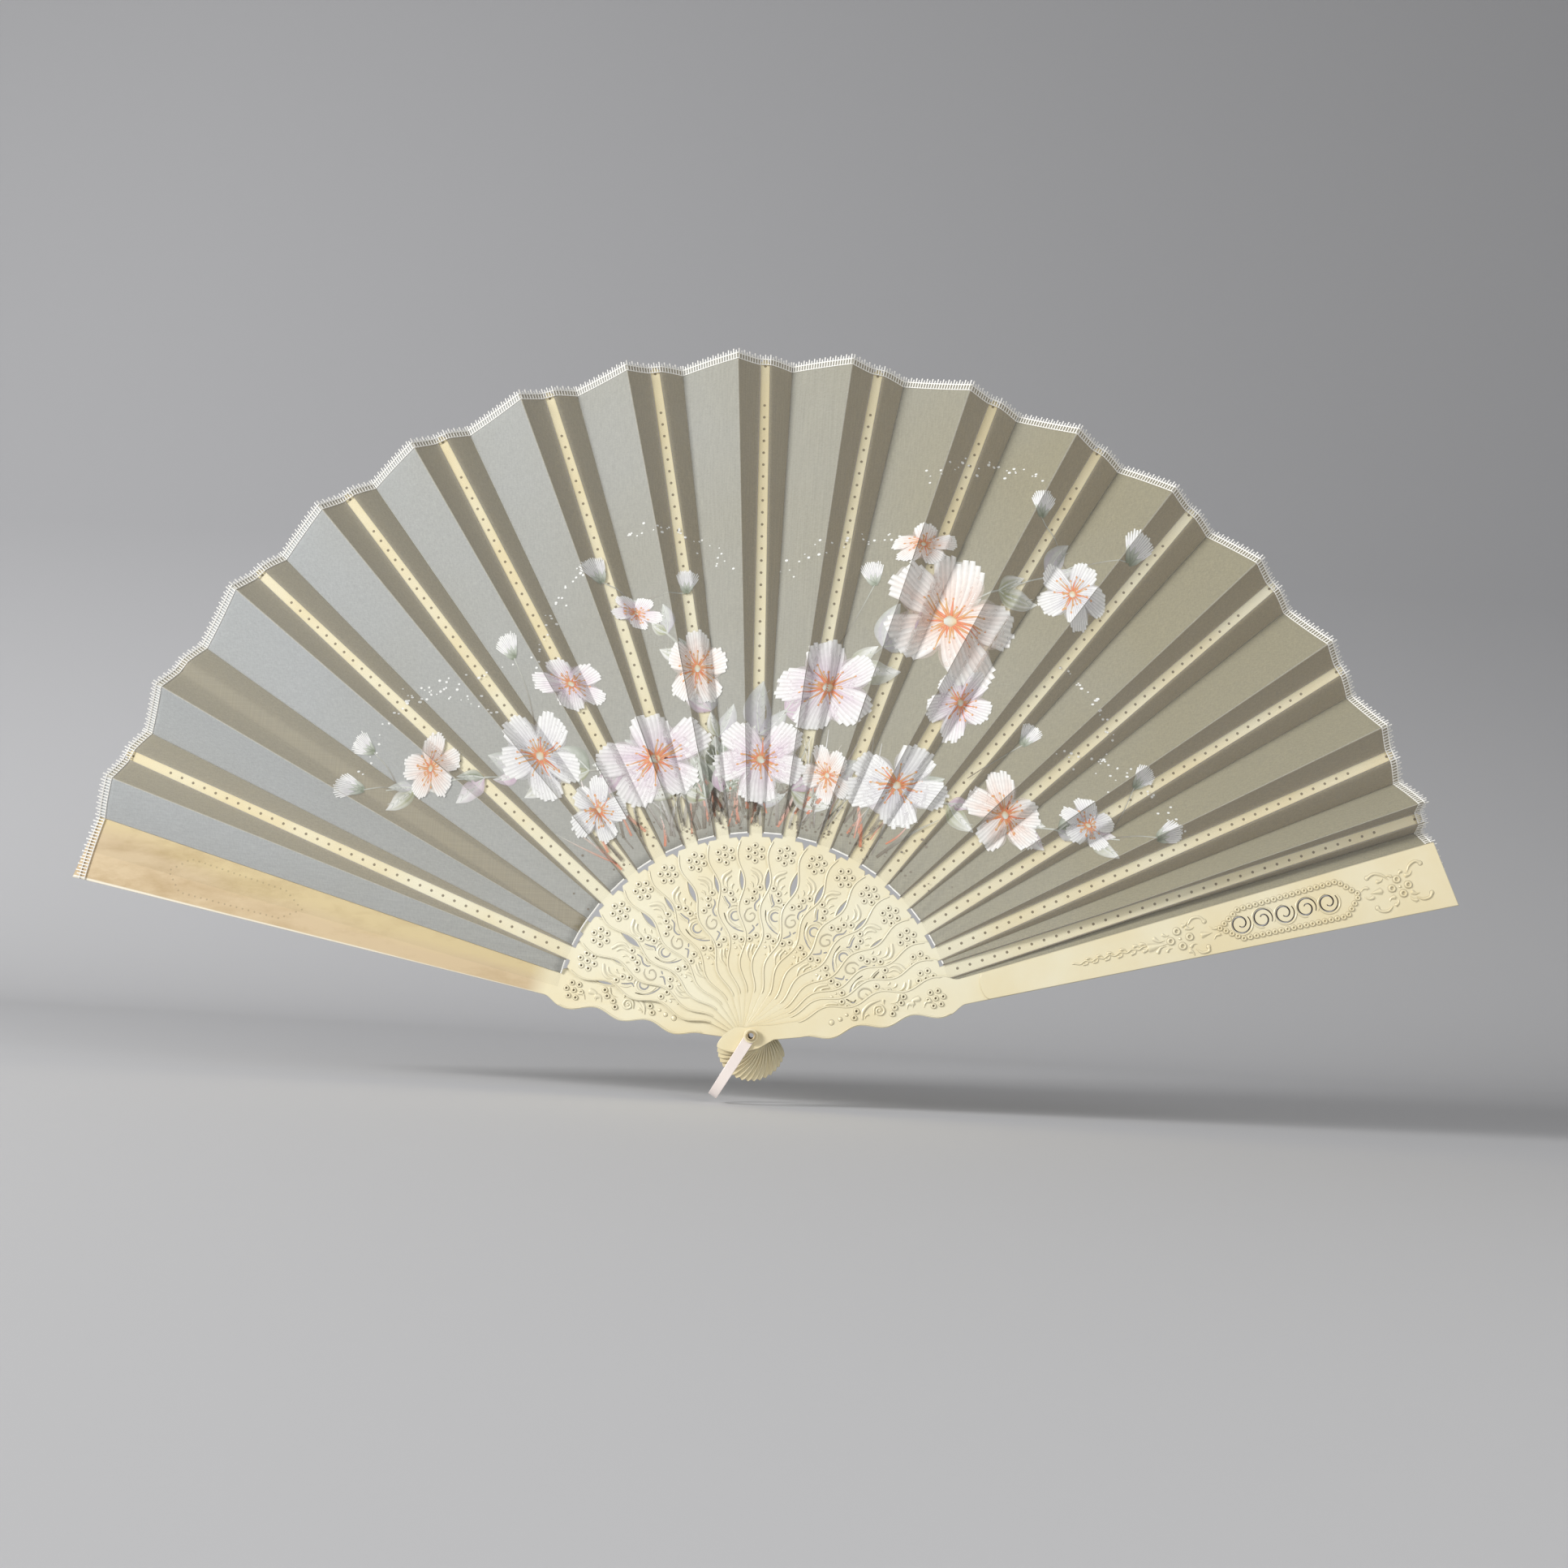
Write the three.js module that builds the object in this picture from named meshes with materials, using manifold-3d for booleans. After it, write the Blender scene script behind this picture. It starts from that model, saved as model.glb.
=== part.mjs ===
// Folding fan with a pleated gauze leaf, modelled open and upright.
// X runs to the right, Z up, and the viewer stands on the -Y side; the origin is the middle of the rivet.
// Lengths are in millimetres and angles in degrees, counted from +X towards +Z.
import * as THREE from 'three';
import { mergeVertices } from 'three/addons/utils/BufferGeometryUtils.js';
import Module from 'manifold-3d';

const wasm = await Module();
wasm.setup();

// whole fan
const guardLength = 350;
const frontAngle = 16.9;
const rearAngle = 167.2;
const stickAngles = [159.4, 150.8, 140.6, 130.7, 121.3, 111.3, 101.9, 92.3,
  82.5, 72.2, 62.4, 53.0, 43.8, 34.9, 26.8, 21.2];
const brokenStick = 2;
const gap = 0.3;
const leafRoom = 0.6;

// inner sticks: a wavy gorge, then a narrow rib
const stickThick = 0.65;
const shoulder = 98;
const shoulderHalf = 6.9;
const ribFootHalf = 3.35;
const ribTipHalf = 2.5;
const ribTipRound = 2;
const stubLength = 7;
const waveLength = 27;
const wavePeak = 89;
const waveHeight = 1.7;
const gorgeHalfAtPivot = 4.05;
const gorgeHalfGain = 0.0416;
const neckHalf = 3.3;
const neckEnd = 20.5;
const eyeHalf = 4.4;
const waveStep = 4.2;

// tails under the rivet, cut so that together they make a scallop shell
const shellRadius = 16.8;
const shellDrop = 5.7;
const shellSide = 0.5;
const firstTail = 330;
const lastTail = 200.6;
const tailHalf = 6.8;
const tailSteps = 5;
const tailEnd = 2.2;
const tailBlunt = 0.7;

// guards: a wider gorge, moved outwards, and a widening blade
const gorgeShift = 2.5;
const gorgeShiftEnd = 25;
const gorgeWider = 0.8;
const gorgeWaveShift = 3;
const guardShift = 3.5;
const guardThick = 1.5;
const bladeRaise = 0.6;
const bladeStart = 114;
const bladeFoot = 105;
const bladeFootHalf = 6.3;
const bladeTipHalf = 16.4;
const tipSlant = 1.5;
const guardShoulder = 96;

// pressed holes
const dotRadius = 0.55;
const dotSides = 6;
const rosetteAt = 89.8;
const rosetteRing = 3.8;
const slitWidth = 0.8;
const slitTaper = 0.35;
const chain = [[72.7, 2.8], [70.5, 0], [67.2, -0.8], [65.5, -3.8], [48.9, 1.2], [47.1, -1.9]];
const chainOut = 3.9;
const chainAcross = 1.6;

// pierced scrolls of the blades, in a row
const scrollCount = 5;
const scrollStart = 245.3;
const scrollPitch = 11.1;
const scrollRadius = 4.9;
const scrollEye = 1.3;
const scrollCurl = 1.6;
const scrollFrom = -30;
const scrollTo = 490;
const scrollSteps = 11;

// leaf
const leafInner = 99.8;
const leafOuter = 349;
const leafThick = 0.25;
const leafInset = 0.28;
const panelHalf = 2.33;
const lastPanelHalf = 1.1;
const foldAtInner = 0.35;
const foldAtOuter = 9;
const stripMargin = 0.4;
const leafSteps = 4;
const gluedShare = 0.55;

// rivet, washers and bail
const boreRadius = 1.4;
const rivetRadius = 1.9;
const rivetHole = 2.1;
const rivetRim = 2.5;
const rivetRimThick = 0.35;
const washerRadius = 3.4;
const washerThick = 1;
const bailThick = 0.8;
const bailWidth = 4.7;
const bailEye = 3.1;
const bailReach = 35;
const bailStraight = 23;
const bailAngle = 240.2;
const roundSides = 24;

// levels along Y, from the middle of the pack outwards
const pitch = stickThick + gap;
const stickCount = stickAngles.length;
const levelOf = (i) => ((stickCount + 1) / 2 - i) * pitch;
const packHalf = levelOf(1) + stickThick / 2 + gap + leafRoom;
const guardFace = packHalf + guardThick;
const bailInner = guardFace + gap;
const washerInner = bailInner + bailThick + gap;
const rivetEnd = washerInner + washerThick + gap + rivetRimThick;

const rad = THREE.MathUtils.degToRad;
const polar = (r, angle) => new THREE.Vector2(r * Math.cos(rad(angle)), r * Math.sin(rad(angle)));
const turned = (points, angle) => points.map((p) => p.clone().rotateAround(new THREE.Vector2(), rad(angle)));
const flipped = (points) => points.map((p) => new THREE.Vector2(p.x, -p.y)).reverse();

const celluloid = { color: 0xf6e8c6, roughness: 0.42, metalness: 0 };
const gauze = { color: 0xb9b8ac, roughness: 0.9, metalness: 0 };
const pearl = { color: 0xf0e2dc, roughness: 0.35, metalness: 0 };
const brass = { color: 0x8f7a4e, roughness: 0.4, metalness: 0.9 };

const fan = new THREE.Group();
fan.name = 'folding_fan';

function add(name, geometry, finish) {
  const mesh = new THREE.Mesh(geometry, new THREE.MeshStandardMaterial(finish));
  mesh.name = name;
  fan.add(mesh);
}

function solidOf(geometry) {
  const plain = new THREE.BufferGeometry();
  plain.setAttribute('position', geometry.getAttribute('position'));
  plain.setIndex(geometry.getIndex());
  const merged = mergeVertices(plain, 1e-4);
  const triVerts = Uint32Array.from(merged.getIndex().array);
  const vertProperties = Float32Array.from(merged.getAttribute('position').array);
  return new wasm.Manifold(new wasm.Mesh({ numProp: 3, vertProperties, triVerts }));
}

function meshOf(solid) {
  const mesh = solid.getMesh();
  const geometry = new THREE.BufferGeometry();
  geometry.setAttribute('position', new THREE.BufferAttribute(Float32Array.from(mesh.vertProperties), 3));
  geometry.setIndex(new THREE.BufferAttribute(Uint32Array.from(mesh.triVerts), 1));
  geometry.computeVertexNormals();
  return geometry;
}

// a flat plate in the XZ plane, from level front (nearer the viewer) to front + thick
function plate(outline, holes, front, thick) {
  const shape = new THREE.Shape(outline);
  shape.holes = holes.map((h) => new THREE.Path(h));
  const geometry = new THREE.ExtrudeGeometry(shape, { depth: thick, bevelEnabled: false, steps: 1 });
  geometry.rotateX(Math.PI / 2);
  geometry.translate(0, front + thick, 0);
  return geometry;
}

const circle = (u, v, radius, sides) => Array.from({ length: sides }, (_, k) => {
  const a = (k / sides) * 2 * Math.PI;
  return new THREE.Vector2(u + radius * Math.cos(a), v + radius * Math.sin(a));
});
const dot = (u, v) => circle(u, v, dotRadius, dotSides);

// a slit along a line of points, narrow at both ends
function slit(line, steps) {
  const curve = new THREE.SplineCurve(line.map(([u, v]) => new THREE.Vector2(u, v)));
  const left = [];
  const right = [];
  for (let k = 0; k <= steps; k += 1) {
    const t = k / steps;
    const at = curve.getPoint(t);
    const along = curve.getTangent(t);
    const half = (slitWidth / 2) * (slitTaper + (1 - slitTaper) * Math.sin(Math.PI * t));
    left.push(new THREE.Vector2(at.x - along.y * half, at.y + along.x * half));
    right.unshift(new THREE.Vector2(at.x + along.y * half, at.y - along.x * half));
  }
  return [...left, ...right];
}

// points of an arc about (u, v), as the line of a slit
const arc = (u, v, radius, from, to, steps) => Array.from({ length: steps + 1 }, (_, k) => {
  const a = rad(from + ((to - from) * k) / steps);
  return [u + radius * Math.cos(a), v + radius * Math.sin(a)];
});

// half width of the gorge: a line that widens outwards, with a wave on it
function gorgeHalf(u) {
  if (u < neckEnd) return neckHalf;
  const wave = waveHeight * Math.cos((2 * Math.PI * (u - wavePeak)) / waveLength);
  return gorgeHalfAtPivot + gorgeHalfGain * u + wave;
}

// one edge of the gorge, from the rivet eye out to the shoulder
function gorgeEdge(end, waveShift, wider) {
  const edge = [new THREE.Vector2(eyeHalf * 0.75, eyeHalf), new THREE.Vector2(neckEnd / 2, neckHalf + gap)];
  const steps = Math.round((end - neckEnd) / waveStep);
  for (let k = 0; k <= steps; k += 1) {
    const u = neckEnd + ((end - neckEnd) * k) / steps;
    edge.push(new THREE.Vector2(u + waveShift, gorgeHalf(u) + wider));
  }
  return edge;
}

// the lower edge of a blade, turned over from its upper one, starts at the wide side of its tail
function lowerEdge(edge) {
  const lower = flipped(edge).reverse();
  lower[0] = new THREE.Vector2(eyeHalf / 2, -tailHalf);
  return lower;
}

// the tail of one stick: a petal from the rivet eye to its place on the rim of the shell
function tail(share, stickAngle) {
  const angle = firstTail + (lastTail - firstTail) * share;
  const way = polar(1, angle);
  const centre = new THREE.Vector2(shellSide, -shellDrop);
  const along = way.dot(centre);
  const reach = along + Math.sqrt(along * along + shellRadius ** 2 - centre.lengthSq());
  const narrow = [];
  const wide = [];
  for (let k = 0; k < tailSteps; k += 1) {
    const t = (k + 0.4) / tailSteps;
    const belly = THREE.MathUtils.lerp(eyeHalf, tailHalf, Math.min(1, 3 * t));
    const taper = (1 - t ** tailEnd) ** tailBlunt;
    narrow.push(new THREE.Vector2(t * reach, -belly * taper));
    wide.unshift(new THREE.Vector2(t * reach, tailHalf * taper));
  }
  return turned([...narrow, new THREE.Vector2(reach, 0), ...wide], angle - stickAngle);
}

// both edges of a stick are alike, so the upper one is drawn and turned over
function stickOutline(i) {
  const share = i / (stickCount + 1);
  const edge = gorgeEdge(shoulder - 2, 0, 0);
  edge.push(new THREE.Vector2(shoulder, shoulderHalf));
  edge.push(new THREE.Vector2(shoulder, ribFootHalf));
  if (i === brokenStick) {
    edge.push(new THREE.Vector2(shoulder + stubLength, ribFootHalf * 0.8));
    edge.push(new THREE.Vector2(shoulder + stubLength * 0.6, ribFootHalf * 0.3));
  } else {
    edge.push(new THREE.Vector2(guardLength - ribTipRound - 1, ribTipHalf));
    edge.push(new THREE.Vector2(guardLength - 1, ribTipHalf - ribTipRound));
  }
  return [...lowerEdge(edge), ...edge.slice().reverse(), ...tail(share, stickAngles[i - 1])];
}

// the pressed openings of the gorge; every second stick has them mirrored
function stickHoles(mirrored) {
  const side = mirrored ? -1 : 1;
  const rosette = Array.from({ length: 6 }, (_, k) => {
    const p = polar(rosetteRing, k * 60);
    return dot(rosetteAt + p.x, p.y);
  });
  const slits = [
    slit([[69.6, 3.3], [67, 2.3], [64.9, 1.2], [63.4, 2.2]].map(([u, v]) => [u, v * side]), 5),
    slit(arc(62, -7, 11.7, 93, 162, 5).map(([u, v]) => [u, v * side]), 6),
    slit(arc(59, -0.7, 2.2, -25, 216, 6).map(([u, v]) => [u, v * side]), 7),
  ];
  return [dot(rosetteAt, 0), ...rosette, ...chain.map(([u, v]) => dot(u, v * side)), ...slits];
}

const rivetBore = circle(0, 0, rivetHole, roundSides / 2);

stickAngles.forEach((angle, index) => {
  const i = index + 1;
  const holes = [rivetBore, ...stickHoles(i % 2 === 0)].map((h) => turned(h, angle));
  const name = `stick_${String(i).padStart(2, '0')}`;
  add(name, plate(turned(stickOutline(i), angle), holes, levelOf(i) - stickThick / 2, stickThick), celluloid);
});

// guards; outwards is +V for the rear one and -V for the front one
const smooth = THREE.MathUtils.smoothstep;
const guardCentre = (u) => gorgeShift * smooth(u, 0, gorgeShiftEnd)
  + (guardShift - gorgeShift) * smooth(u, guardShoulder - waveLength, bladeFoot);
const bladeHalf = (u) => THREE.MathUtils.mapLinear(u, bladeFoot, guardLength, bladeFootHalf, bladeTipHalf);

// the end of a blade is cut on a slant, with its outer corner longer
const bladeTip = (v, side) => new THREE.Vector2(guardLength + side * Math.sign(v) * tipSlant, v);

function guardOutline(share, angle, side) {
  const half = gorgeEdge(guardShoulder - gorgeWaveShift, gorgeWaveShift, gorgeWider);
  half.push(new THREE.Vector2(bladeFoot, bladeHalf(bladeFoot)));
  half.push(new THREE.Vector2(bladeStart, bladeHalf(bladeStart)));
  const shifted = (p) => new THREE.Vector2(p.x, p.y + side * guardCentre(p.x));
  const upper = [...half, bladeTip(bladeTipHalf, side)].map(shifted);
  const lower = [...lowerEdge(half), bladeTip(-bladeTipHalf, side)].map(shifted);
  return [...lower, ...upper.reverse(), ...tail(share, angle)];
}

// the raised face of the blade, with a round start
function bladeOutline(side) {
  const start = Array.from({ length: 7 }, (_, k) => polar(bladeHalf(bladeStart), 90 + k * 30));
  const foot = start.map((p) => new THREE.Vector2(bladeStart + bladeHalf(bladeStart) * 0.5 + p.x * 0.5, p.y));
  const tip = [bladeTip(-bladeTipHalf, side), bladeTip(bladeTipHalf, side)];
  return [...foot, ...tip].map((p) => new THREE.Vector2(p.x, p.y + side * guardShift));
}

// the line of a scroll, curling in from its open end to its eye; turn is 1 or -1
function scroll(u, v, turn) {
  return Array.from({ length: scrollSteps + 1 }, (_, k) => {
    const t = k / scrollSteps;
    const a = rad(turn * THREE.MathUtils.lerp(scrollFrom, scrollTo, t));
    const radius = THREE.MathUtils.lerp(scrollRadius, scrollEye, t ** scrollCurl);
    return [u + radius * Math.cos(a), v + radius * Math.sin(a)];
  });
}

function guardHoles(side) {
  const outwards = (shift) => ([u, v]) => [u, side * (v + shift)];
  const dots = chain.map(([u, v]) => outwards(guardShift)([u + chainOut, -v - chainAcross]));
  const scrolls = Array.from({ length: scrollCount }, (_, k) => {
    const turn = k % 2 === 0 ? 1 : -1;
    return slit(scroll(scrollStart + k * scrollPitch, 0, turn).map(outwards(guardShift)), scrollSteps);
  });
  return [...dots.map(([u, v]) => dot(u, v)), ...scrolls];
}

function guard(name, angle, share, side) {
  const holes = guardHoles(side).map((h) => turned(h, angle));
  const outline = turned(guardOutline(share, angle, side), angle);
  const inner = side > 0 ? packHalf : -guardFace;
  const raised = side > 0 ? packHalf + gap : -guardFace - bladeRaise;
  const flat = solidOf(plate(outline, [rivetBore, ...holes], inner, guardThick));
  const onBlade = holes.slice(-scrollCount);
  const thick = guardThick + bladeRaise - gap;
  const face = solidOf(plate(turned(bladeOutline(side), angle), onBlade, raised, thick));
  add(name, meshOf(flat.add(face)), celluloid);
}

guard('rear_guard', rearAngle, 0, 1);
guard('front_guard', frontAngle, 1, -1);

// leaf: a thin closed strip over rows of points, each row running across one panel
function cloth(rows) {
  const across = rows[0].length;
  const points = [];
  [leafThick / 2, -leafThick / 2].forEach((shift) => {
    rows.forEach((row) => row.forEach((p) => points.push(p.x, p.y + shift, p.z)));
  });
  const at = (layer, r, c) => layer * rows.length * across + r * across + c;
  const index = [];
  const quad = (a, b, c, d) => index.push(a, c, b, a, d, c);
  for (let r = 0; r + 1 < rows.length; r += 1) {
    for (let c = 0; c + 1 < across; c += 1) {
      quad(at(0, r, c), at(0, r + 1, c), at(0, r + 1, c + 1), at(0, r, c + 1));
      quad(at(1, r, c), at(1, r, c + 1), at(1, r + 1, c + 1), at(1, r + 1, c));
    }
    quad(at(0, r, 0), at(1, r, 0), at(1, r + 1, 0), at(0, r + 1, 0));
    quad(at(1, r, across - 1), at(0, r, across - 1), at(0, r + 1, across - 1), at(1, r + 1, across - 1));
  }
  const end = rows.length - 1;
  for (let c = 0; c + 1 < across; c += 1) {
    quad(at(0, 0, c), at(0, 0, c + 1), at(1, 0, c + 1), at(1, 0, c));
    quad(at(0, end, c + 1), at(0, end, c), at(1, end, c), at(1, end, c + 1));
  }
  const geometry = new THREE.BufferGeometry();
  geometry.setAttribute('position', new THREE.Float32BufferAttribute(points, 3));
  geometry.setIndex(index);
  geometry.computeVertexNormals();
  return geometry;
}

const place = (r, angle, y) => {
  const p = polar(r, angle);
  return new THREE.Vector3(p.x, y, p.y);
};
const foldDepth = (r) => THREE.MathUtils.mapLinear(r, leafInner, leafOuter, foldAtInner, foldAtOuter);
const ribHalf = (r) => THREE.MathUtils.mapLinear(r, shoulder, guardLength, ribFootHalf, ribTipHalf);
const radii = Array.from({ length: leafSteps + 1 }, (_, k) => leafInner + ((leafOuter - leafInner) * k) / leafSteps);
const degrees = (length, r) => THREE.MathUtils.radToDeg(length / r);
const halfOf = (i) => (i === stickCount ? lastPanelHalf : panelHalf);
const sheetLevel = (i) => levelOf(i) - stickThick / 2 - gap - leafThick / 2;

// near fold: the left edge of a panel that lies on a rib; far fold: its right edge
const nearFold = (i, r) => {
  const wide = Math.max(halfOf(i), degrees(ribHalf(r) + stripMargin + leafInset, r));
  return { angle: stickAngles[i - 1] + wide, y: sheetLevel(i) - foldDepth(r) };
};
const farFold = (i, r) => {
  const wide = Math.max(halfOf(i), degrees(ribHalf(r) + stripMargin + leafInset, r));
  return { angle: stickAngles[i - 1] - wide, y: sheetLevel(i) + foldDepth(r) };
};

const moved = (a, b, r) => {
  const from = place(r, a.angle, a.y);
  const to = place(r, b.angle, b.y);
  return from.add(to.sub(from).setLength(leafInset));
};

const gluedRear = rearAngle + degrees(guardShift, guardLength);
const gluedFront = frontAngle - degrees(guardShift, guardLength);
const rearEdge = (r) => ({
  angle: rearAngle + degrees(guardShift - bladeHalf(r), r),
  y: packHalf - gap - leafThick / 2,
});
const frontEdge = (r) => ({
  angle: frontAngle + degrees(bladeHalf(r) - guardShift, r),
  y: -packHalf + gap + leafThick / 2,
});

stickAngles.forEach((angle, index) => {
  const i = index + 1;
  const rows = radii.map((r) => {
    const near = nearFold(i, r);
    const far = farFold(i, r);
    const flat = degrees(ribHalf(r) + stripMargin, r);
    const left = { angle: angle + flat, y: sheetLevel(i) };
    const right = { angle: angle - flat, y: sheetLevel(i) };
    return [moved(far, right, r), place(r, right.angle, right.y), place(r, left.angle, left.y), moved(near, left, r)];
  });
  add(`leaf_d${String(i).padStart(2, '0')}`, cloth(rows), gauze);
});

for (let i = 0; i <= stickCount; i += 1) {
  const rows = radii.map((r) => {
    const left = i === 0 ? rearEdge(r) : farFold(i, r);
    const right = i === stickCount ? frontEdge(r) : nearFold(i + 1, r);
    return [moved(right, left, r), moved(left, right, r)];
  });
  add(`leaf_l${String(i).padStart(2, '0')}`, cloth(rows), gauze);
}

// the ends of the leaf, glued flat on the inner faces of the guards
function gluedStrip(angle, side, y) {
  return cloth(radii.map((r) => {
    const inner = angle + side * degrees(guardShift - bladeHalf(r) + gap, r);
    const outer = angle + side * degrees(guardShift + bladeHalf(r) * (2 * gluedShare - 1), r);
    return side > 0 ? [place(r, inner, y), place(r, outer, y)] : [place(r, outer, y), place(r, inner, y)];
  }));
}
add('leaf_rear', gluedStrip(rearAngle, 1, rearEdge(leafInner).y), gauze);
add('leaf_front', gluedStrip(frontAngle, -1, frontEdge(leafInner).y), gauze);

// turned pieces on the rivet's axis, which is Y
function turnedSolid(profile) {
  const geometry = new THREE.LatheGeometry(profile.map(([r, y]) => new THREE.Vector2(r, y)), roundSides);
  return solidOf(geometry);
}
const bore = (radius) => turnedSolid([[0, -2 * rivetEnd], [radius, -2 * rivetEnd], [radius, 2 * rivetEnd], [0, 2 * rivetEnd]]);

const rimInner = rivetEnd - rivetRimThick;
const shank = turnedSolid([
  [0, -rivetEnd], [rivetRim - gap, -rivetEnd], [rivetRim, -rimInner], [rivetRadius, -rimInner],
  [rivetRadius, rimInner], [rivetRim, rimInner], [rivetRim - gap, rivetEnd], [0, rivetEnd],
]);
add('rivet', meshOf(shank.subtract(bore(boreRadius))), brass);

const washer = turnedSolid([
  [0, washerInner], [washerRadius, washerInner], [washerRadius, washerInner + washerThick * 0.5],
  [washerRadius * 0.86, washerInner + washerThick], [0, washerInner + washerThick],
]);
const washerRing = meshOf(washer.subtract(bore(rivetHole)));
add('washer_rear', washerRing, celluloid);
add('washer_front', washerRing.clone().rotateX(Math.PI), celluloid);

// bail: a strip bent into a U over the whole pack, with a round eye at each end
const legSpan = (reach) => {
  const outer = [];
  const spread = reach - bailStraight;
  const level = bailInner + (reach === bailReach ? bailThick : 0);
  for (let k = 0; k <= 10; k += 1) {
    const a = rad(90 - k * 18);
    outer.push(new THREE.Vector2(bailStraight + spread * Math.cos(a), level * Math.sin(a)));
  }
  return [new THREE.Vector2(-bailEye, level), ...outer, new THREE.Vector2(-bailEye, -level)];
};
const band = new THREE.ExtrudeGeometry(
  new THREE.Shape([...legSpan(bailReach), ...legSpan(bailReach - bailThick).reverse()]),
  { depth: 2 * bailEye, bevelEnabled: false, steps: 1 },
);
band.translate(0, 0, -bailEye);
const eyeHalfTurn = circle(0, 0, bailEye, roundSides).filter((p) => p.x < bailEye * 0.6);
const stripTop = [new THREE.Vector2(bailReach + gap, -bailWidth / 2), new THREE.Vector2(bailReach + gap, bailWidth / 2)];
const eyeRound = [...eyeHalfTurn.filter((p) => p.y > 0), ...eyeHalfTurn.filter((p) => p.y <= 0)];
const stripShape = plate([...eyeRound, ...stripTop], [], -2 * rivetEnd, 4 * rivetEnd);
const bail = solidOf(band).intersect(solidOf(stripShape)).subtract(bore(rivetHole));
const bailMesh = meshOf(bail);
bailMesh.rotateY(-rad(bailAngle));
add('bail', bailMesh, pearl);

export default fan;
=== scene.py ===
import math
import bmesh
import bpy
import numpy as np
from mathutils import Matrix, Vector
from mathutils.geometry import tessellate_polygon


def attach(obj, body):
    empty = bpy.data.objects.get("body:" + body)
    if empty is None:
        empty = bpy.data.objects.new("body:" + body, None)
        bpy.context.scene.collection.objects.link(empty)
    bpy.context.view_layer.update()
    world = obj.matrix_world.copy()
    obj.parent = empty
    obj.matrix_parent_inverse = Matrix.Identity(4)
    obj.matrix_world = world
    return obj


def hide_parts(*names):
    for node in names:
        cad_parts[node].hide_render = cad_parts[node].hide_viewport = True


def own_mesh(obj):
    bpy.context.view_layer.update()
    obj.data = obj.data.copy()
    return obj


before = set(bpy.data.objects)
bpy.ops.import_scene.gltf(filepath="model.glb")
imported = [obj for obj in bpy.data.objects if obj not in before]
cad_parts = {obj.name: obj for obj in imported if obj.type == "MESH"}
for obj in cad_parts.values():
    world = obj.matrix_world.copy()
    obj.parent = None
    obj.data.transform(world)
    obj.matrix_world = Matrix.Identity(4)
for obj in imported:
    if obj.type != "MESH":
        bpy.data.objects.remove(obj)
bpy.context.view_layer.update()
mm = 0.001


def addObject(name, data):
    thing = bpy.data.objects.new(name, data)
    bpy.context.scene.collection.objects.link(thing)
    return thing


def addMesh(name, points, faces, values=None):
    # values has an array for each attribute, with a number or a colour for each point
    mesh = bpy.data.meshes.new(name)
    mesh.from_pydata(points, [], faces)
    for key, given in (values or {}).items():
        kind, field = ("FLOAT", "value") if given.ndim == 1 else ("FLOAT_COLOR", "color")
        mesh.attributes.new(key, kind, "POINT").data.foreach_set(field, given.ravel().astype(np.float32))
    return mesh


def readOut(data, field, size):
    # one value of a mesh's points as an array
    values = np.empty(len(data) * size)
    data.foreach_get(field, values)
    return values.reshape(-1, size)


def gridFaces(rows, cols, rowsClosed=False, colsClosed=False):
    # the squares between rows of points; either direction can close on itself
    row = np.arange(rows if rowsClosed else rows - 1)[:, None]
    col = np.arange(cols if colsClosed else cols - 1)[None]
    nextRow, nextCol = (row + 1) % rows * cols, (col + 1) % cols
    row = row * cols
    return np.stack([row + col, row + nextCol, nextRow + nextCol, nextRow + col], -1).reshape(-1, 4)


# camera: where the photograph was taken from, with the axes turned into those of a picture
cameraSet = {"lens": 34.66, "sensor": 36.0, "clip": (0.01, 20), "tilt": -7.82, "swing": 0.64, "roll": 3.29,
             "rivetSeen": (-0.0160, 0.1234, 0.7416)}


def makeCamera():
    turn = (Matrix.Rotation(math.radians(cameraSet["roll"]), 3, "Z")
            @ Matrix.Rotation(math.radians(cameraSet["swing"]), 3, "Y")
            @ Matrix.Rotation(math.radians(cameraSet["tilt"]), 3, "X")
            @ Matrix(((1, 0, 0), (0, 0, -1), (0, 1, 0))))
    data = bpy.data.cameras.new("photoCamera")
    data.lens = cameraSet["lens"]
    data.sensor_width = cameraSet["sensor"]
    data.clip_start, data.clip_end = cameraSet["clip"]
    place = (Matrix(((1, 0, 0), (0, -1, 0), (0, 0, -1))) @ turn).transposed().to_4x4()
    place.translation = -(turn.transposed() @ Vector(cameraSet["rivetSeen"]))
    camera = addObject("photoCamera", data)
    camera.matrix_world = place
    bpy.context.scene.camera = camera


makeCamera()
print("camera placed")


class Socket:  # a shader socket that can be used in sums
    def __init__(self, finish, out):
        self.finish, self.out = finish, out

    def maths(self, operation, *values, clamp=False):
        settings = {"operation": operation, "use_clamp": clamp}
        return self.finish.add("ShaderNodeMath", settings, dict(enumerate(values)))

    def __add__(self, other):
        return self.maths("ADD", self, other)

    def __sub__(self, other):
        return self.maths("SUBTRACT", self, other)

    def __rsub__(self, other):
        return self.maths("SUBTRACT", other, self)

    def __mul__(self, other):
        return self.maths("MULTIPLY", self, other)

    def __truediv__(self, other):
        return self.maths("DIVIDE", self, other)

    def limited(self):
        return self.maths("ADD", self, 0, clamp=True)

    def size(self):
        return self.maths("ABSOLUTE", self)

    __radd__ = __add__
    __rmul__ = __mul__


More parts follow.
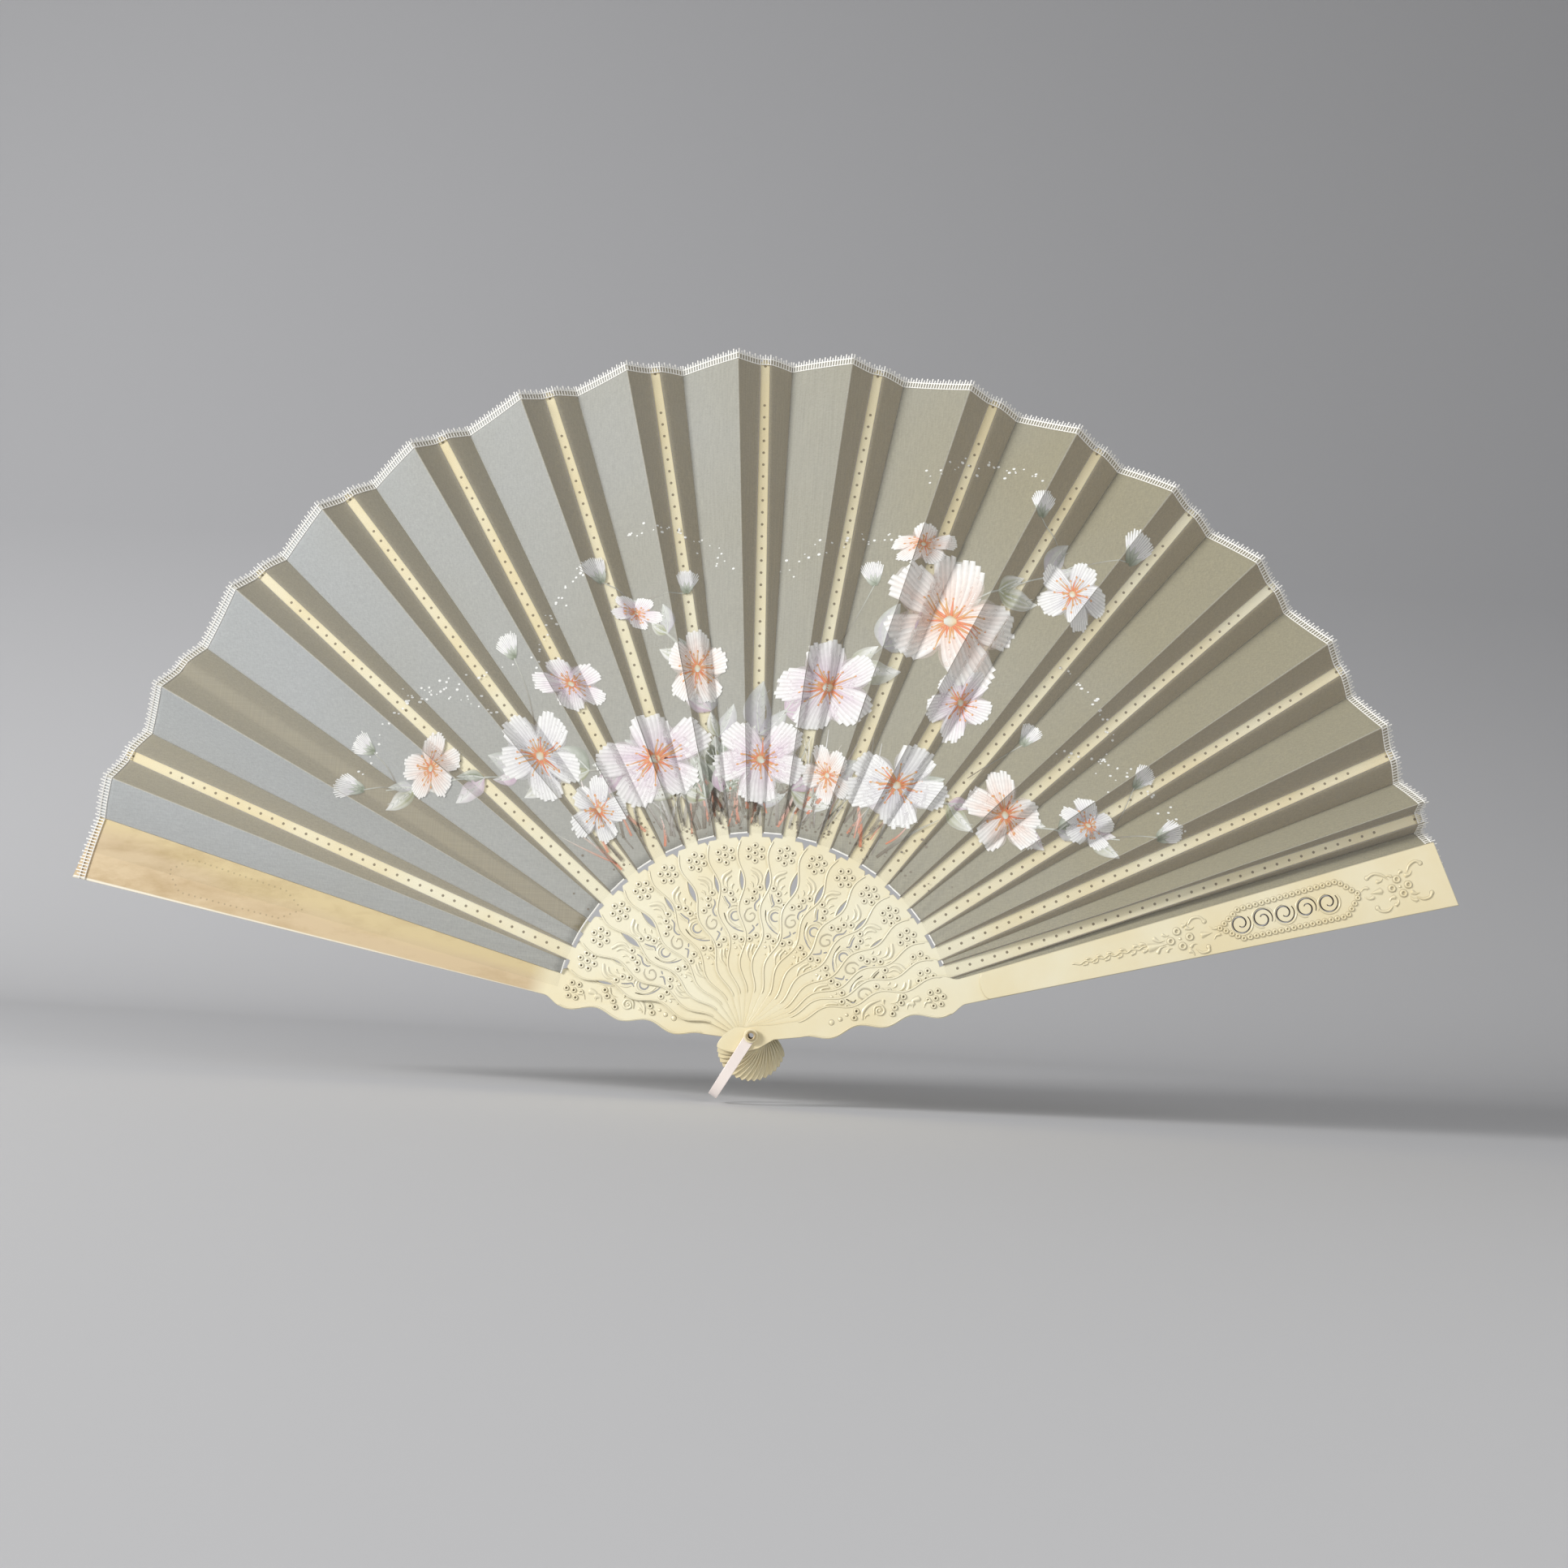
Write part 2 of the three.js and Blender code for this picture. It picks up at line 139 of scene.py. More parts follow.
class Finish:  # a material and the nodes that it is made of
    def __init__(self, name, **constants):
        self.material = bpy.data.materials.new(name)
        self.material.use_nodes = True
        self.tree = self.material.node_tree
        self.shader = self.tree.nodes["Principled BSDF"]
        for socket, value in constants.items():
            self.feed(socket.replace("_", " "), value)

    def feed(self, socket, value, node=None):
        target = (node or self.shader).inputs[socket]
        if isinstance(value, Socket):
            self.tree.links.new(value.out, target)
        elif isinstance(value, tuple) and len(value) == 3 and target.type == "RGBA":
            target.default_value = (*value, 1)
        else:
            target.default_value = value

    def add(self, kind, settings=None, inputs=None, output=0):
        node = self.tree.nodes.new(kind)
        for key, value in (settings or {}).items():
            setattr(node, key, value)
        for socket, value in (inputs or {}).items():
            self.feed(socket, value, node)
        return Socket(self, node.outputs[output])

    def place(self, scale=(1, 1, 1)):  # Object coordinates, stretched
        here = self.add("ShaderNodeTexCoord", output=3)
        return self.add("ShaderNodeMapping", inputs={"Vector": here, "Scale": scale})

    def noise(self, scale, detail=2.0, stretch=(1, 1, 1), roughness=0.5):
        inputs = {"Vector": self.place(stretch), "Scale": scale, "Detail": detail, "Roughness": roughness}
        return self.add("ShaderNodeTexNoise", inputs=inputs)

    def own(self, name, output=2):  # a value that the mesh carries
        return self.add("ShaderNodeAttribute", {"attribute_name": name}, output=output)

    def mix(self, share, first, second):
        return self.add("ShaderNodeMix", {"data_type": "RGBA"}, {0: share, 6: first, 7: second}, output=2)

    def bump(self, height, strength, distance):
        inputs = {"Height": height, "Strength": strength, "Distance": distance}
        self.feed("Normal", self.add("ShaderNodeBump", inputs=inputs))


# stage: a pale floor that bends up into a pale wall far behind the fan
stageSet = {"floor": -0.0335, "wall": 1.25, "bend": 0.5, "front": -9.0, "half": 9.0, "height": 4.0,
            "steps": 13, "climb": 1.6, "uneven": 0.02, "cloud": 3.0, "colour": (0.60, 0.60, 0.61),
            "wallColour": (0.40, 0.40, 0.41)}


def makeStage():
    wall, bend, half = stageSet["wall"], stageSet["bend"], stageSet["half"]
    turn = np.linspace(0, math.pi / 2, stageSet["steps"])
    y = np.r_[stageSet["front"], wall - bend + bend * np.sin(turn), wall]
    z = stageSet["floor"] + np.r_[0, bend * (1 - np.cos(turn)), stageSet["height"]]
    points = np.stack([np.tile([-half, half], len(y)), np.repeat(y, 2), np.repeat(z, 2)], -1)
    mesh = addMesh("floor", points, gridFaces(len(y), 2).tolist())
    mesh.shade_smooth()
    plain = Finish("paleFloor", Roughness=0.9)
    height = plain.add("ShaderNodeSeparateXYZ", inputs={0: plain.place()}, output=2)
    uneven = stageSet["uneven"] * plain.noise(stageSet["cloud"])
    climbed = (height * stageSet["climb"] + stageSet["uneven"] + uneven).limited()
    plain.feed("Base Color", plain.mix(climbed, stageSet["colour"], stageSet["wallColour"]))
    mesh.materials.append(plain.material)
    addObject("floor", mesh)


# light: a large soft lamp on the left, a weak one on the right and an even sky
lightSet = {"key": ((-2.0, -1.3, 0.9), 0.7, 60.0), "fill": ((1.2, -1.5, 0.8), 1.2, 9.5),
            "aim": (0.0, 0.0, 0.12), "sky": 0.285}


def makeLights():
    for name in ("key", "fill"):
        position, size, power = lightSet[name]
        lamp = bpy.data.lights.new(name, "AREA")
        lamp.size, lamp.energy = size, power
        light = addObject(name, lamp)
        light.location = position
        aim = Vector(lightSet["aim"]) - Vector(position)
        light.rotation_euler = aim.to_track_quat("-Z", "Y").to_euler()
    world = bpy.data.worlds.new("sky")
    world.use_nodes = True
    sky = world.node_tree.nodes["Background"].inputs
    sky["Color"].default_value = (1, 1, 1, 1)
    sky["Strength"].default_value = lightSet["sky"]
    bpy.context.scene.world = world
    bpy.context.scene.view_settings.view_transform = "Standard"


makeStage()
makeLights()
print("floor and lamps made")


# helpers for shapes; a part is (points, faces, shade), with painted shade and grime from 0, none, to 1, dark
def spline(points, count):
    # Catmull-Rom: each span is a cubic through its two points with the slope of their neighbours
    p = np.asarray(points, float)
    p = np.concatenate([p[:1], p, p[-1:]])
    t = np.linspace(0, len(p) - 3 - 1e-9, count)
    k = t.astype(int)
    f = (t - k)[:, None]
    a, b, c, d = p[k], p[k + 1], p[k + 2], p[k + 3]
    return 0.5 * (2 * b + (c - a) * f + (2 * a - 5 * b + 4 * c - d) * f ** 2
                  + (3 * b - a - 3 * c + d) * f ** 3)


def polar(radius, degrees):
    turn = np.radians(degrees)
    return np.stack([radius * np.cos(turn), radius * np.sin(turn)], -1)


def turned(points, degrees):
    c, s = math.cos(math.radians(degrees)), math.sin(math.radians(degrees))
    return np.stack([points[:, 0] * c - points[:, 1] * s, points[:, 0] * s + points[:, 1] * c], -1)


def unit(vectors):
    return vectors / np.maximum(np.linalg.norm(vectors, axis=-1, keepdims=True), 1e-9)


def sideways(line, closed=False):
    # unit vectors square to a flat line, to its left
    along = unit(np.roll(line, -1, 0) - np.roll(line, 1, 0) if closed else np.gradient(line, axis=0))
    return np.stack([-along[:, 1], along[:, 0]], -1)


def smooth(x, low, high):
    t = np.clip((x - low) / (high - low), 0, 1)
    return t * t * (3 - 2 * t)


def ease(x, x0, x1, y0, y1):
    return y0 + (y1 - y0) * (x - x0) / (x1 - x0)


# how warm the celluloid is: a share of its own, more towards the rivet, on the ribs and at the guards' tips
toneSet = {"plain": 0.22, "paler": 0.1, "varies": 0.24, "beat": 5.3, "pivot": (30, 72, 0.38),
           "rib": (97, 112, 0.22), "tip": (220, 345, 0.28)}


def toneAt(radius, plain):
    near, rib, tip = toneSet["pivot"], toneSet["rib"], toneSet["tip"]
    return (plain + near[2] * (1 - smooth(radius, *near[:2])) + rib[2] * smooth(radius, *rib[:2])
            + tip[2] * smooth(radius, *tip[:2]))


def joined(parts):
    # the points and faces of several parts as one
    starts = np.cumsum([0] + [len(part[0]) for part in parts])
    faces = [[i + start for i in face] for part, start in zip(parts, starts) for face in part[1]]
    return np.concatenate([part[0] for part in parts]), faces


def dress(piece, body, node):
    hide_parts(node)
    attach(piece, body)


sharpAngle = math.radians(50)


def makePiece(name, parts, finish, body, node, tone=toneSet["plain"]):
    points, faces = joined(parts)
    warm = toneAt(np.linalg.norm(points[:, [0, 2]], axis=1), tone)
    shadeAndGrime = np.concatenate([part[2] for part in parts])
    mesh = addMesh(name, points * mm, faces, {"shadeAndGrime": shadeAndGrime, "tone": warm})
    mesh.shade_smooth()
    mesh.set_sharp_from_angle(angle=sharpAngle)
    mesh.materials.append(finish)
    dress(addObject(name, mesh), body, node)


# a plate's edges: the shortest side kept, the sharpest mitre, a hole's share of the rounding, the flat rim
# beside the rounding, and the painted shade and grime from the face through the wall to the other face
plateSet = {"shortest": 0.02, "mitre": 0.35, "hole": 0.5, "rim": 1.5, "edgeShadeAndGrime": 0.32,
            "shadeAndGrime": [0, 0.45, 1, 1, 1, 1, 0.45, 0]}


def loopEdges(loop, around):
    # the loop runs with the material on its left; each corner moves along the middle of its two sides
    area = np.sum(loop[:, 0] * np.roll(loop[:, 1], -1) - loop[:, 1] * np.roll(loop[:, 0], -1)) / 2
    if (area > 0) != around:
        loop = loop[::-1]
    loop = loop[np.linalg.norm(loop - np.roll(loop, 1, 0), axis=1) > plateSet["shortest"]]
    side = unit(np.roll(loop, -1, 0) - loop)
    left = np.stack([-side[:, 1], side[:, 0]], -1)
    before = np.roll(left, 1, 0)
    inward = (left + before) / np.maximum(1 + np.sum(left * before, 1), plateSet["mitre"])[:, None]
    return loop, inward


def doubleAreas(points, triangles):
    a, b, c = (points[triangles[:, k]] for k in range(3))
    return (b[:, 0] - a[:, 0]) * (c[:, 1] - a[:, 1]) - (b[:, 1] - a[:, 1]) * (c[:, 0] - a[:, 0])


def filled(points, edges):
    # triangles between an outline and its holes; where the filling slips, it is tried again turned a little
    loops = [points[a:b] for a, b in zip(edges, edges[1:])]
    count = len(points) + 2 * len(loops) - 4
    wanted = sum(np.sum(p[:, 0] * np.roll(p[:, 1], -1) - p[:, 1] * np.roll(p[:, 0], -1)) for p in loops)
    for turn in range(0, 180, 7):
        rings = [[Vector((*p, 0)) for p in turned(loop, turn)] for loop in loops]
        triangles = np.array(tessellate_polygon(rings))
        twice = doubleAreas(points, triangles)
        triangles[twice < 0] = triangles[twice < 0][:, ::-1]
        if len(triangles) == count and abs(np.abs(twice).sum() - wanted) < 0.01:
            return triangles
    print("a plate isn't filled cleanly")
    return triangles


def plate(outline, holes, front, back, rounding):
    # a flat sheet with holes: every loop goes through a rim, a quarter round, the wall and the same again
    loops = [loopEdges(outline, True)]
    for hole in holes:
        loop, inward = loopEdges(hole, False)
        loops.append((loop, inward * plateSet["hole"]))
    cut, rim = 1 - math.sin(math.pi / 4), plateSet["rim"]
    steps = [(rim, front), (1, front), (cut, front + cut * rounding), (0, front + rounding),
             (0, back - rounding), (cut, back - cut * rounding), (1, back), (rim, back)]
    flat = [np.concatenate([loop + inward * rounding * share for loop, inward in loops])
            for share, level in steps]
    total = len(flat[0])
    points = np.concatenate([np.stack([f[:, 0], np.full(total, level), f[:, 1]], -1)
                             for f, (share, level) in zip(flat, steps)])
    lengths = [len(loop) for loop, inward in loops]
    edges = np.cumsum([0] + lengths)
    faces = []
    for start, length in zip(edges, lengths):
        here = start + np.arange(length)
        nextOne = start + np.roll(np.arange(length), -1)
        for low in range(0, (len(steps) - 1) * total, total):
            high = low + total
            faces += np.stack([here + low, here + high, nextOne + high, nextOne + low], -1).tolist()
    triangles = filled(flat[0], edges)
    faces += triangles.tolist() + (triangles[:, ::-1] + (len(steps) - 1) * total).tolist()
    # the holes' walls and rims take the full painted shade, so the openings read dark; the outline takes
    # less
    share = np.repeat([plateSet["edgeShadeAndGrime"]] + [1.0] * len(holes), lengths)
    return points, faces, np.outer(plateSet["shadeAndGrime"], share).ravel()


# relief is drawn in (along, across, height above the face) and then laid on its stick; its cross-sections
# are (place across in half widths, share of the height, lift, painted shade and grime), with a thin skirt
# that carries a soft painted shade and grime round the relief's foot
sections = {
    "bead": [(-1.5, 0, 0.008, 0), (-1, 0, 0.02, 0.32), (-0.6, 0.6, 0, 0.03), (-0.2, 1, 0, 0), (0.2, 1, 0, 0),
             (0.6, 0.6, 0, 0.03), (1, 0, 0.02, 0.32), (1.5, 0, 0.008, 0), (1.5, -0.35, 0, 0.8),
             (-1.5, -0.35, 0, 0.8)],
    "ring": [(-1.7, 0, 0.01, 0), (-1, 0, 0.024, 0.4), (-0.3, 1, 0, 0), (0.3, 1, 0, 0), (1, 0, 0.02, 0.4),
             (1, -0.35, 0, 0.8), (-1.7, -0.35, 0, 0.8)]}
thinnest = 0.06  # the least half width of a ridge


def ridge(line, widths, height, count=12, closed=False, section="bead"):
    # a cross-section carried along the line; it runs thin and low where the line runs thin
    if closed:
        centre, half = np.asarray(line, float), np.full(len(line), widths[0])
    else:
        centre, half = spline(line, count), spline(np.asarray(widths, float)[:, None], count)[:, 0]
    half = np.maximum(half, thinnest)
    across, rise, lift, shadeAndGrime = np.array(sections[section]).T
    tall = height * np.sqrt(np.minimum(1, half / half.max()))
    flat = centre[:, None] + sideways(centre, closed)[:, None] * (across[None] * half[:, None])[..., None]
    level = rise[None] * tall[:, None] + lift[None]
    points = np.concatenate([flat, level[..., None]], -1).reshape(-1, 3)
    n, m = len(centre), len(across)
    faces = gridFaces(n, m, closed, True)[:, [0, 3, 2, 1]].tolist()
    if not closed:
        faces += [list(range(m)), list(range((n - 1) * m, n * m))[::-1]]
    return points, faces, np.tile(shadeAndGrime, n)


def ring(u, v, inner, outer, height, sides=12):
    circle = np.array([u, v]) + polar((inner + outer) / 2, np.arange(sides) * 360 / sides)
    return ridge(circle, [(outer - inner) / 2], height, closed=True, section="ring")


# the circles of a dome as (share of its radius, share of its height, painted shade and grime)
domeSet = [(1, -0.35, 0.9), (1, 0, 0.7), (0.7, 0.3, 0.05), (0.35, 0.8, 0)]


def dome(u, v, radius, height, sides=12, shadeAndGrime=None, sunk=0.0):
    # circles that climb to a middle point; sunk is how far all of it is pressed into the face
    shares, rise, domeShadeAndGrime = np.array(domeSet).T
    circles = np.array([u, v]) + polar(radius * shares[:, None], np.arange(sides)[None] * 360 / sides)
    levels = np.broadcast_to((rise * height)[:, None, None], (len(rise), sides, 1))
    points = np.concatenate([circles, levels], -1).reshape(-1, 3)
    top = len(points)
    points = np.vstack([points, [u, v, height]]) - [0, 0, sunk]
    last = np.arange(top - sides, top)
    faces = [list(range(sides))[::-1]] + gridFaces(len(rise), sides, colsClosed=True).tolist()
    faces += np.stack([last, np.roll(last, -1), np.full(sides, top)], -1).tolist()
    return points, faces, np.r_[np.repeat(domeShadeAndGrime, sides), 0.0] if shadeAndGrime is None else np.full(top + 1, shadeAndGrime)


def comma(tail, head, bend, width, height):
    # a leaf that swells from a thin tail to a round head, bent to one side by a share of its length
    tail, head = np.array(tail, float), np.array(head, float)
    way = head - tail
    middle = (tail + head) / 2 + bend * np.array([-way[1], way[0]])
    beyond = head + (head - middle) * 0.12
    return ridge([tail, middle, head, beyond], [0.1, 0.6 * width, width, 0.25 * width], height)


def volute(points, width, height):
    # a thin scroll that ends in a bead
    u, v = points[-1]
    scroll = ridge(points, [0.15] + [width] * (len(points) - 1), height, count=16)
    return [scroll, dome(u, v, 1.9 * width, height)]


def ringedDot(u, v, outer, height, pin, sunk=0.0, shadeAndGrime=1.0):
    # the pin is a small dark disc: painted shade of the pierced hole, with grime
    pinned = dome(u, v, pin * 1.2, 0.06, sides=8, shadeAndGrime=shadeAndGrime, sunk=sunk)
    return [ring(u, v, pin * 0.8, outer, height), pinned]


def laid(parts, angle, level, side=1, outwards=-1):
    # side mirrors across the stick; outwards is -1 towards the viewer and 1 away
    done = []
    for points, faces, shadeAndGrime in parts:
        flat = turned(np.stack([points[:, 0], side * points[:, 1]], -1), angle)
        placed = np.stack([flat[:, 0], level + outwards * points[:, 2], flat[:, 1]], -1)
        done.append((placed, [face[::-1] for face in faces] if side * outwards > 0 else faces, shadeAndGrime))
    return done


slitTaper = 0.35


def slit(line, width, count):
    # half width = width / 2 * (taper + (1 - taper) * sin(pi t)) along the line
    centre = spline(line, count)
    half = width / 2 * (slitTaper + (1 - slitTaper) * np.sin(math.pi * np.linspace(0, 1, count)))
    side = sideways(centre) * half[:, None]
    return np.concatenate([centre + side, (centre - side)[::-1]])


def arcLine(u, v, radius, start, end, count):
    return np.array([u, v]) + polar(radius, np.linspace(start, end, count))


def circleLoop(u, v, radius, sides=14):
    return np.array([u, v]) + polar(radius, np.arange(sides) * 360 / sides)


def rosette(u, v, radius):
    # a middle and six places round it
    return np.vstack([[u, v], circleLoop(u, v, radius, 6)])


# celluloid: cream, cloudy, glossy, with painted shade and grime in the relief's hollows, walls and holes
creamSet = {"cream": (0.90, 0.85, 0.645), "deep": (0.85, 0.74, 0.47), "shadeAndGrime": (0.09, 0.06, 0.035),
            "clouds": 26.0, "broad": 7.0, "grain": 260.0}
# the inner face of the rear guard's blade: warm above, tan below, stained at the far end, with a pale rim;
# across is its direction as a sine and cosine, the lengths are in millimetres but for the level of the face
agedSet = {"warm": (0.72, 0.585, 0.33), "tan": (0.66, 0.515, 0.32), "stain": (0.42, 0.28, 0.13),
           "rim": (0.85, 0.79, 0.64), "across": (0.2215, 0.9751), "middle": 3.5, "foot": 105.0,
           "footHalf": 6.3, "grows": 0.0412, "face": 0.009, "far": 270, "blots": 42.0, "streaks": 60.0,
           "rimFrom": -0.91}


def agedBlade(finish, colour):
    x, y, z = (finish.add("ShaderNodeSeparateXYZ", inputs={0: finish.place()}, output=k)
               for k in range(3))
    a, b = (1000 * part for part in agedSet["across"])
    along, out = z * a - x * b, x * a + z * b + agedSet["middle"]
    share = out / (agedSet["footHalf"] + (along - agedSet["foot"]) * agedSet["grows"])
    inner = ((agedSet["face"] - y) * 4000).limited() * ((along - agedSet["foot"]) * 0.1).limited()
    blots = finish.noise(agedSet["blots"], detail=6, stretch=(0.5, 1, 1.2), roughness=0.7)
    streaks = finish.noise(agedSet["streaks"], detail=4, stretch=(0.25, 1, 2))
    far = ((along - agedSet["far"]) * 0.02).limited()
    above = (share * 1.6 + (streaks - 0.5) * 1.6 + 0.35 - far * 0.9).limited()
    aged = finish.mix(above, agedSet["tan"], agedSet["warm"])
    stained = ((blots - 0.47) * 4 + far * 0.1 + (streaks - 0.5) * 1.5).limited() * (0.5 + far * 0.2)
    aged = finish.mix(stained, aged, agedSet["stain"])
    paler = ((agedSet["rimFrom"] - share + (streaks - 0.5) * 0.05) * 30).limited()
    return finish.mix(inner, colour, finish.mix(paler, aged, agedSet["rim"]))


def celluloidFinish(name, aged=False):
    finish = Finish(name, IOR=1.5, Coat_Weight=0.15, Coat_Roughness=0.12)
    clouds = finish.noise(creamSet["clouds"], detail=4)
    broad = finish.noise(creamSet["broad"], detail=2)
    grain = finish.noise(creamSet["grain"], detail=3)
    cloudy = (clouds - 0.5) * 2.0 + (broad - 0.5) * 1.8 + finish.own("tone")
    colour = finish.mix(cloudy.limited(), creamSet["cream"], creamSet["deep"])
    if aged:
        colour = agedBlade(finish, colour)
    # painted shade and grime: darker in the relief's hollows and at its feet, on the plates' walls and in
    # the holes
    finish.feed("Base Color", finish.mix(finish.own("shadeAndGrime"), colour, creamSet["shadeAndGrime"]))
    finish.feed("Roughness", 0.25 + 0.2 * grain)
    finish.bump(clouds + 0.25 * grain, 0.25, 0.0006)
    return finish.material


cream = celluloidFinish("creamCelluloid")
agedCream = celluloidFinish("agedCelluloid", aged=True)

# sticks: the same gorge, rib and tail as the solids, drawn finely
stickSet = {"front": 16.9, "rear": 167.2, "count": 16, "broken": 2, "thick": 0.65, "gap": 0.3, "room": 0.6,
            "shoulder": 98, "shoulderHalf": 6.9, "ribFoot": 3.35, "ribTip": 2.5, "reach": 350, "neck": 20.5,
            "neckHalf": 3.3, "eye": 4.4, "bore": 2.1, "edge": 0.22, "sunk": 0.15}
waveSet = {"length": 27, "peak": 89, "height": 1.7, "atPivot": 4.05, "gain": 0.0416}
tailSet = {"radius": 16.8, "drop": 5.7, "side": 0.5, "first": 330, "last": 200.6, "half": 6.8, "end": 2.2,
           "blunt": 0.7, "steps": 14}
pitch = stickSet["thick"] + stickSet["gap"]


def stickLevel(i):
    return ((stickSet["count"] + 1) / 2 - i) * pitch


packHalf = stickLevel(1) + stickSet["thick"] / 2 + stickSet["gap"] + stickSet["room"]


def stickAngle(i):
    # the direction of the middle of the stick's far end
    points = readOut(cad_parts[f"stick_{i:02d}"].data.vertices, "co", 3)[:, [0, 2]]
    far = np.linalg.norm(points, axis=1)
    tip = points[far > far.max() - 0.3 * mm]
    return math.degrees(math.atan2(*((tip.max(0) + tip.min(0)) / 2)[::-1]))


angles = [stickAngle(i + 1) for i in range(stickSet["count"])]
print("stick angles", [round(a, 2) for a in angles])


def gorgeHalf(u):
    wave = waveSet["height"] * np.cos(2 * math.pi * (u - waveSet["peak"]) / waveSet["length"])
    return waveSet["atPivot"] + waveSet["gain"] * u + wave


def gorgeEdge(end, waveShift, wider):
    u = np.arange(stickSet["neck"], end, 1.1)
    edge = np.stack([u + waveShift, gorgeHalf(u) + wider], -1)
    first = [[stickSet["eye"] * 0.75, stickSet["eye"]], [stickSet["neck"] / 2, stickSet["neckHalf"] + 0.3]]
    return np.vstack([first, edge, [end + waveShift, gorgeHalf(end) + wider]])


def lowerEdge(edge):
    lower = edge * [1, -1]
    lower[0] = [stickSet["eye"] / 2, -tailSet["half"]]
    return lower


def tailSides(share, angle, inset=0.0):
    # a petal whose sides close as (1 - t to the end) to the blunt, reaching the rim of the shell
    way = tailSet["first"] + (tailSet["last"] - tailSet["first"]) * share
    centre = np.array([tailSet["side"], -tailSet["drop"]])
    along = polar(1, way) @ centre
    reach = along + math.sqrt(along ** 2 + tailSet["radius"] ** 2 - centre @ centre)
    t = (np.arange(tailSet["steps"]) + 0.4) / tailSet["steps"]
    taper = (1 - t ** tailSet["end"]) ** tailSet["blunt"]
    belly = ease(np.minimum(1, 3 * t), 0, 1, stickSet["eye"], tailSet["half"])
    narrow = np.stack([t * reach, inset - belly * taper], -1)
    wide = np.stack([t * reach, tailSet["half"] * taper - inset], -1)
    return [turned(side, way - angle) for side in (narrow, wide, np.array([[reach, 0.0]]))]


def tail(share, angle):
    narrow, wide, end = tailSides(share, angle)
    return np.vstack([narrow, end, wide[::-1]])


beadSet = {"inset": 0.62, "half": 0.36, "rise": 0.34, "starts": (12, 26)}


def edgeBeads(edge, centre, share, angle):
    # thin raised lines just inside both sides of the gorge and one side of the tail
    inset, half, rise = beadSet["inset"], beadSet["half"], beadSet["rise"]
    beads = []
    for way, start in zip((1, -1), beadSet["starts"]):
        line = edge[(edge[:, 0] > start) & (edge[:, 0] < stickSet["shoulder"])] * [1, way]
        line[:, 1] += centre(line[:, 0]) - way * inset
        widths = np.full(len(line), half)
        widths[[0, -1]] = thinnest
        beads.append(ridge(line, widths, rise, count=len(line)))
    tailLine = tailSides(share, angle, inset)[1][2:-1]
    return beads + [ridge(tailLine, [0.1, half, half, 0.1], rise, count=len(tailLine))]


def stickOutline(i):
    edge = gorgeEdge(stickSet["shoulder"] - 2, 0, 0)
    top, foot = stickSet["shoulder"], stickSet["ribFoot"]
    if i == stickSet["broken"]:
        ends = [[top + 7, foot * 0.8], [top + 4.2, foot * 0.3]]
    else:
        end, half = stickSet["reach"], stickSet["ribTip"]
        ends = [[end - 3, half], [end - 1, half - 2]]
    edge = np.vstack([edge, [[top, stickSet["shoulderHalf"]], [top, foot]], ends])
    share = i / (stickSet["count"] + 1)
    return np.vstack([lowerEdge(edge), edge[::-1], tail(share, angles[i - 1])])


# pressed openings and the relief round them, as (along, across) in the odd sticks' own sense
gorgeSet = {
    "rosette": 89.8, "petals": 3.8, "dot": 0.55, "boss": 1.5, "rise": 0.4, "sunk": 0.2, "lineShadeAndGrime": 0.4,
    "chain": [(72.7, 2.8), (70.5, 0), (67.2, -0.8), (65.5, -3.8), (48.9, 1.2), (47.1, -1.9)],
    "leaves": [
        ([(74.6, 3.0), (77.5, 3.4), (80.0, 1.9), (81.3, -0.5), (82.0, -1.9)], [0.15, 0.7, 0.9, 0.85, 0.6]),
        ([(73.6, 1.1), (76.3, 1.5), (78.3, 0.4), (79.3, -1.4)], [0.15, 0.6, 0.75, 0.55]),
        ([(72.6, -0.8), (74.2, -1.0), (75.2, -2.0)], [0.12, 0.5, 0.5]),
        ([(70.6, -2.8), (71.6, -3.2), (72.3, -3.8)], [0.12, 0.4, 0.4]),
        ([(36.0, -1.5), (39.3, -2.9), (42.0, -2.6), (44.6, -1.5)], [0.15, 0.6, 0.8, 0.6]),
        ([(39.3, -0.3), (41.5, -1.0), (44.6, 0.2)], [0.15, 0.55, 0.55])],
    "drops": [(43.5, 1.4, 0.75), (46.0, 2.1, 0.6), (40.0, 1.0, 0.55)]}
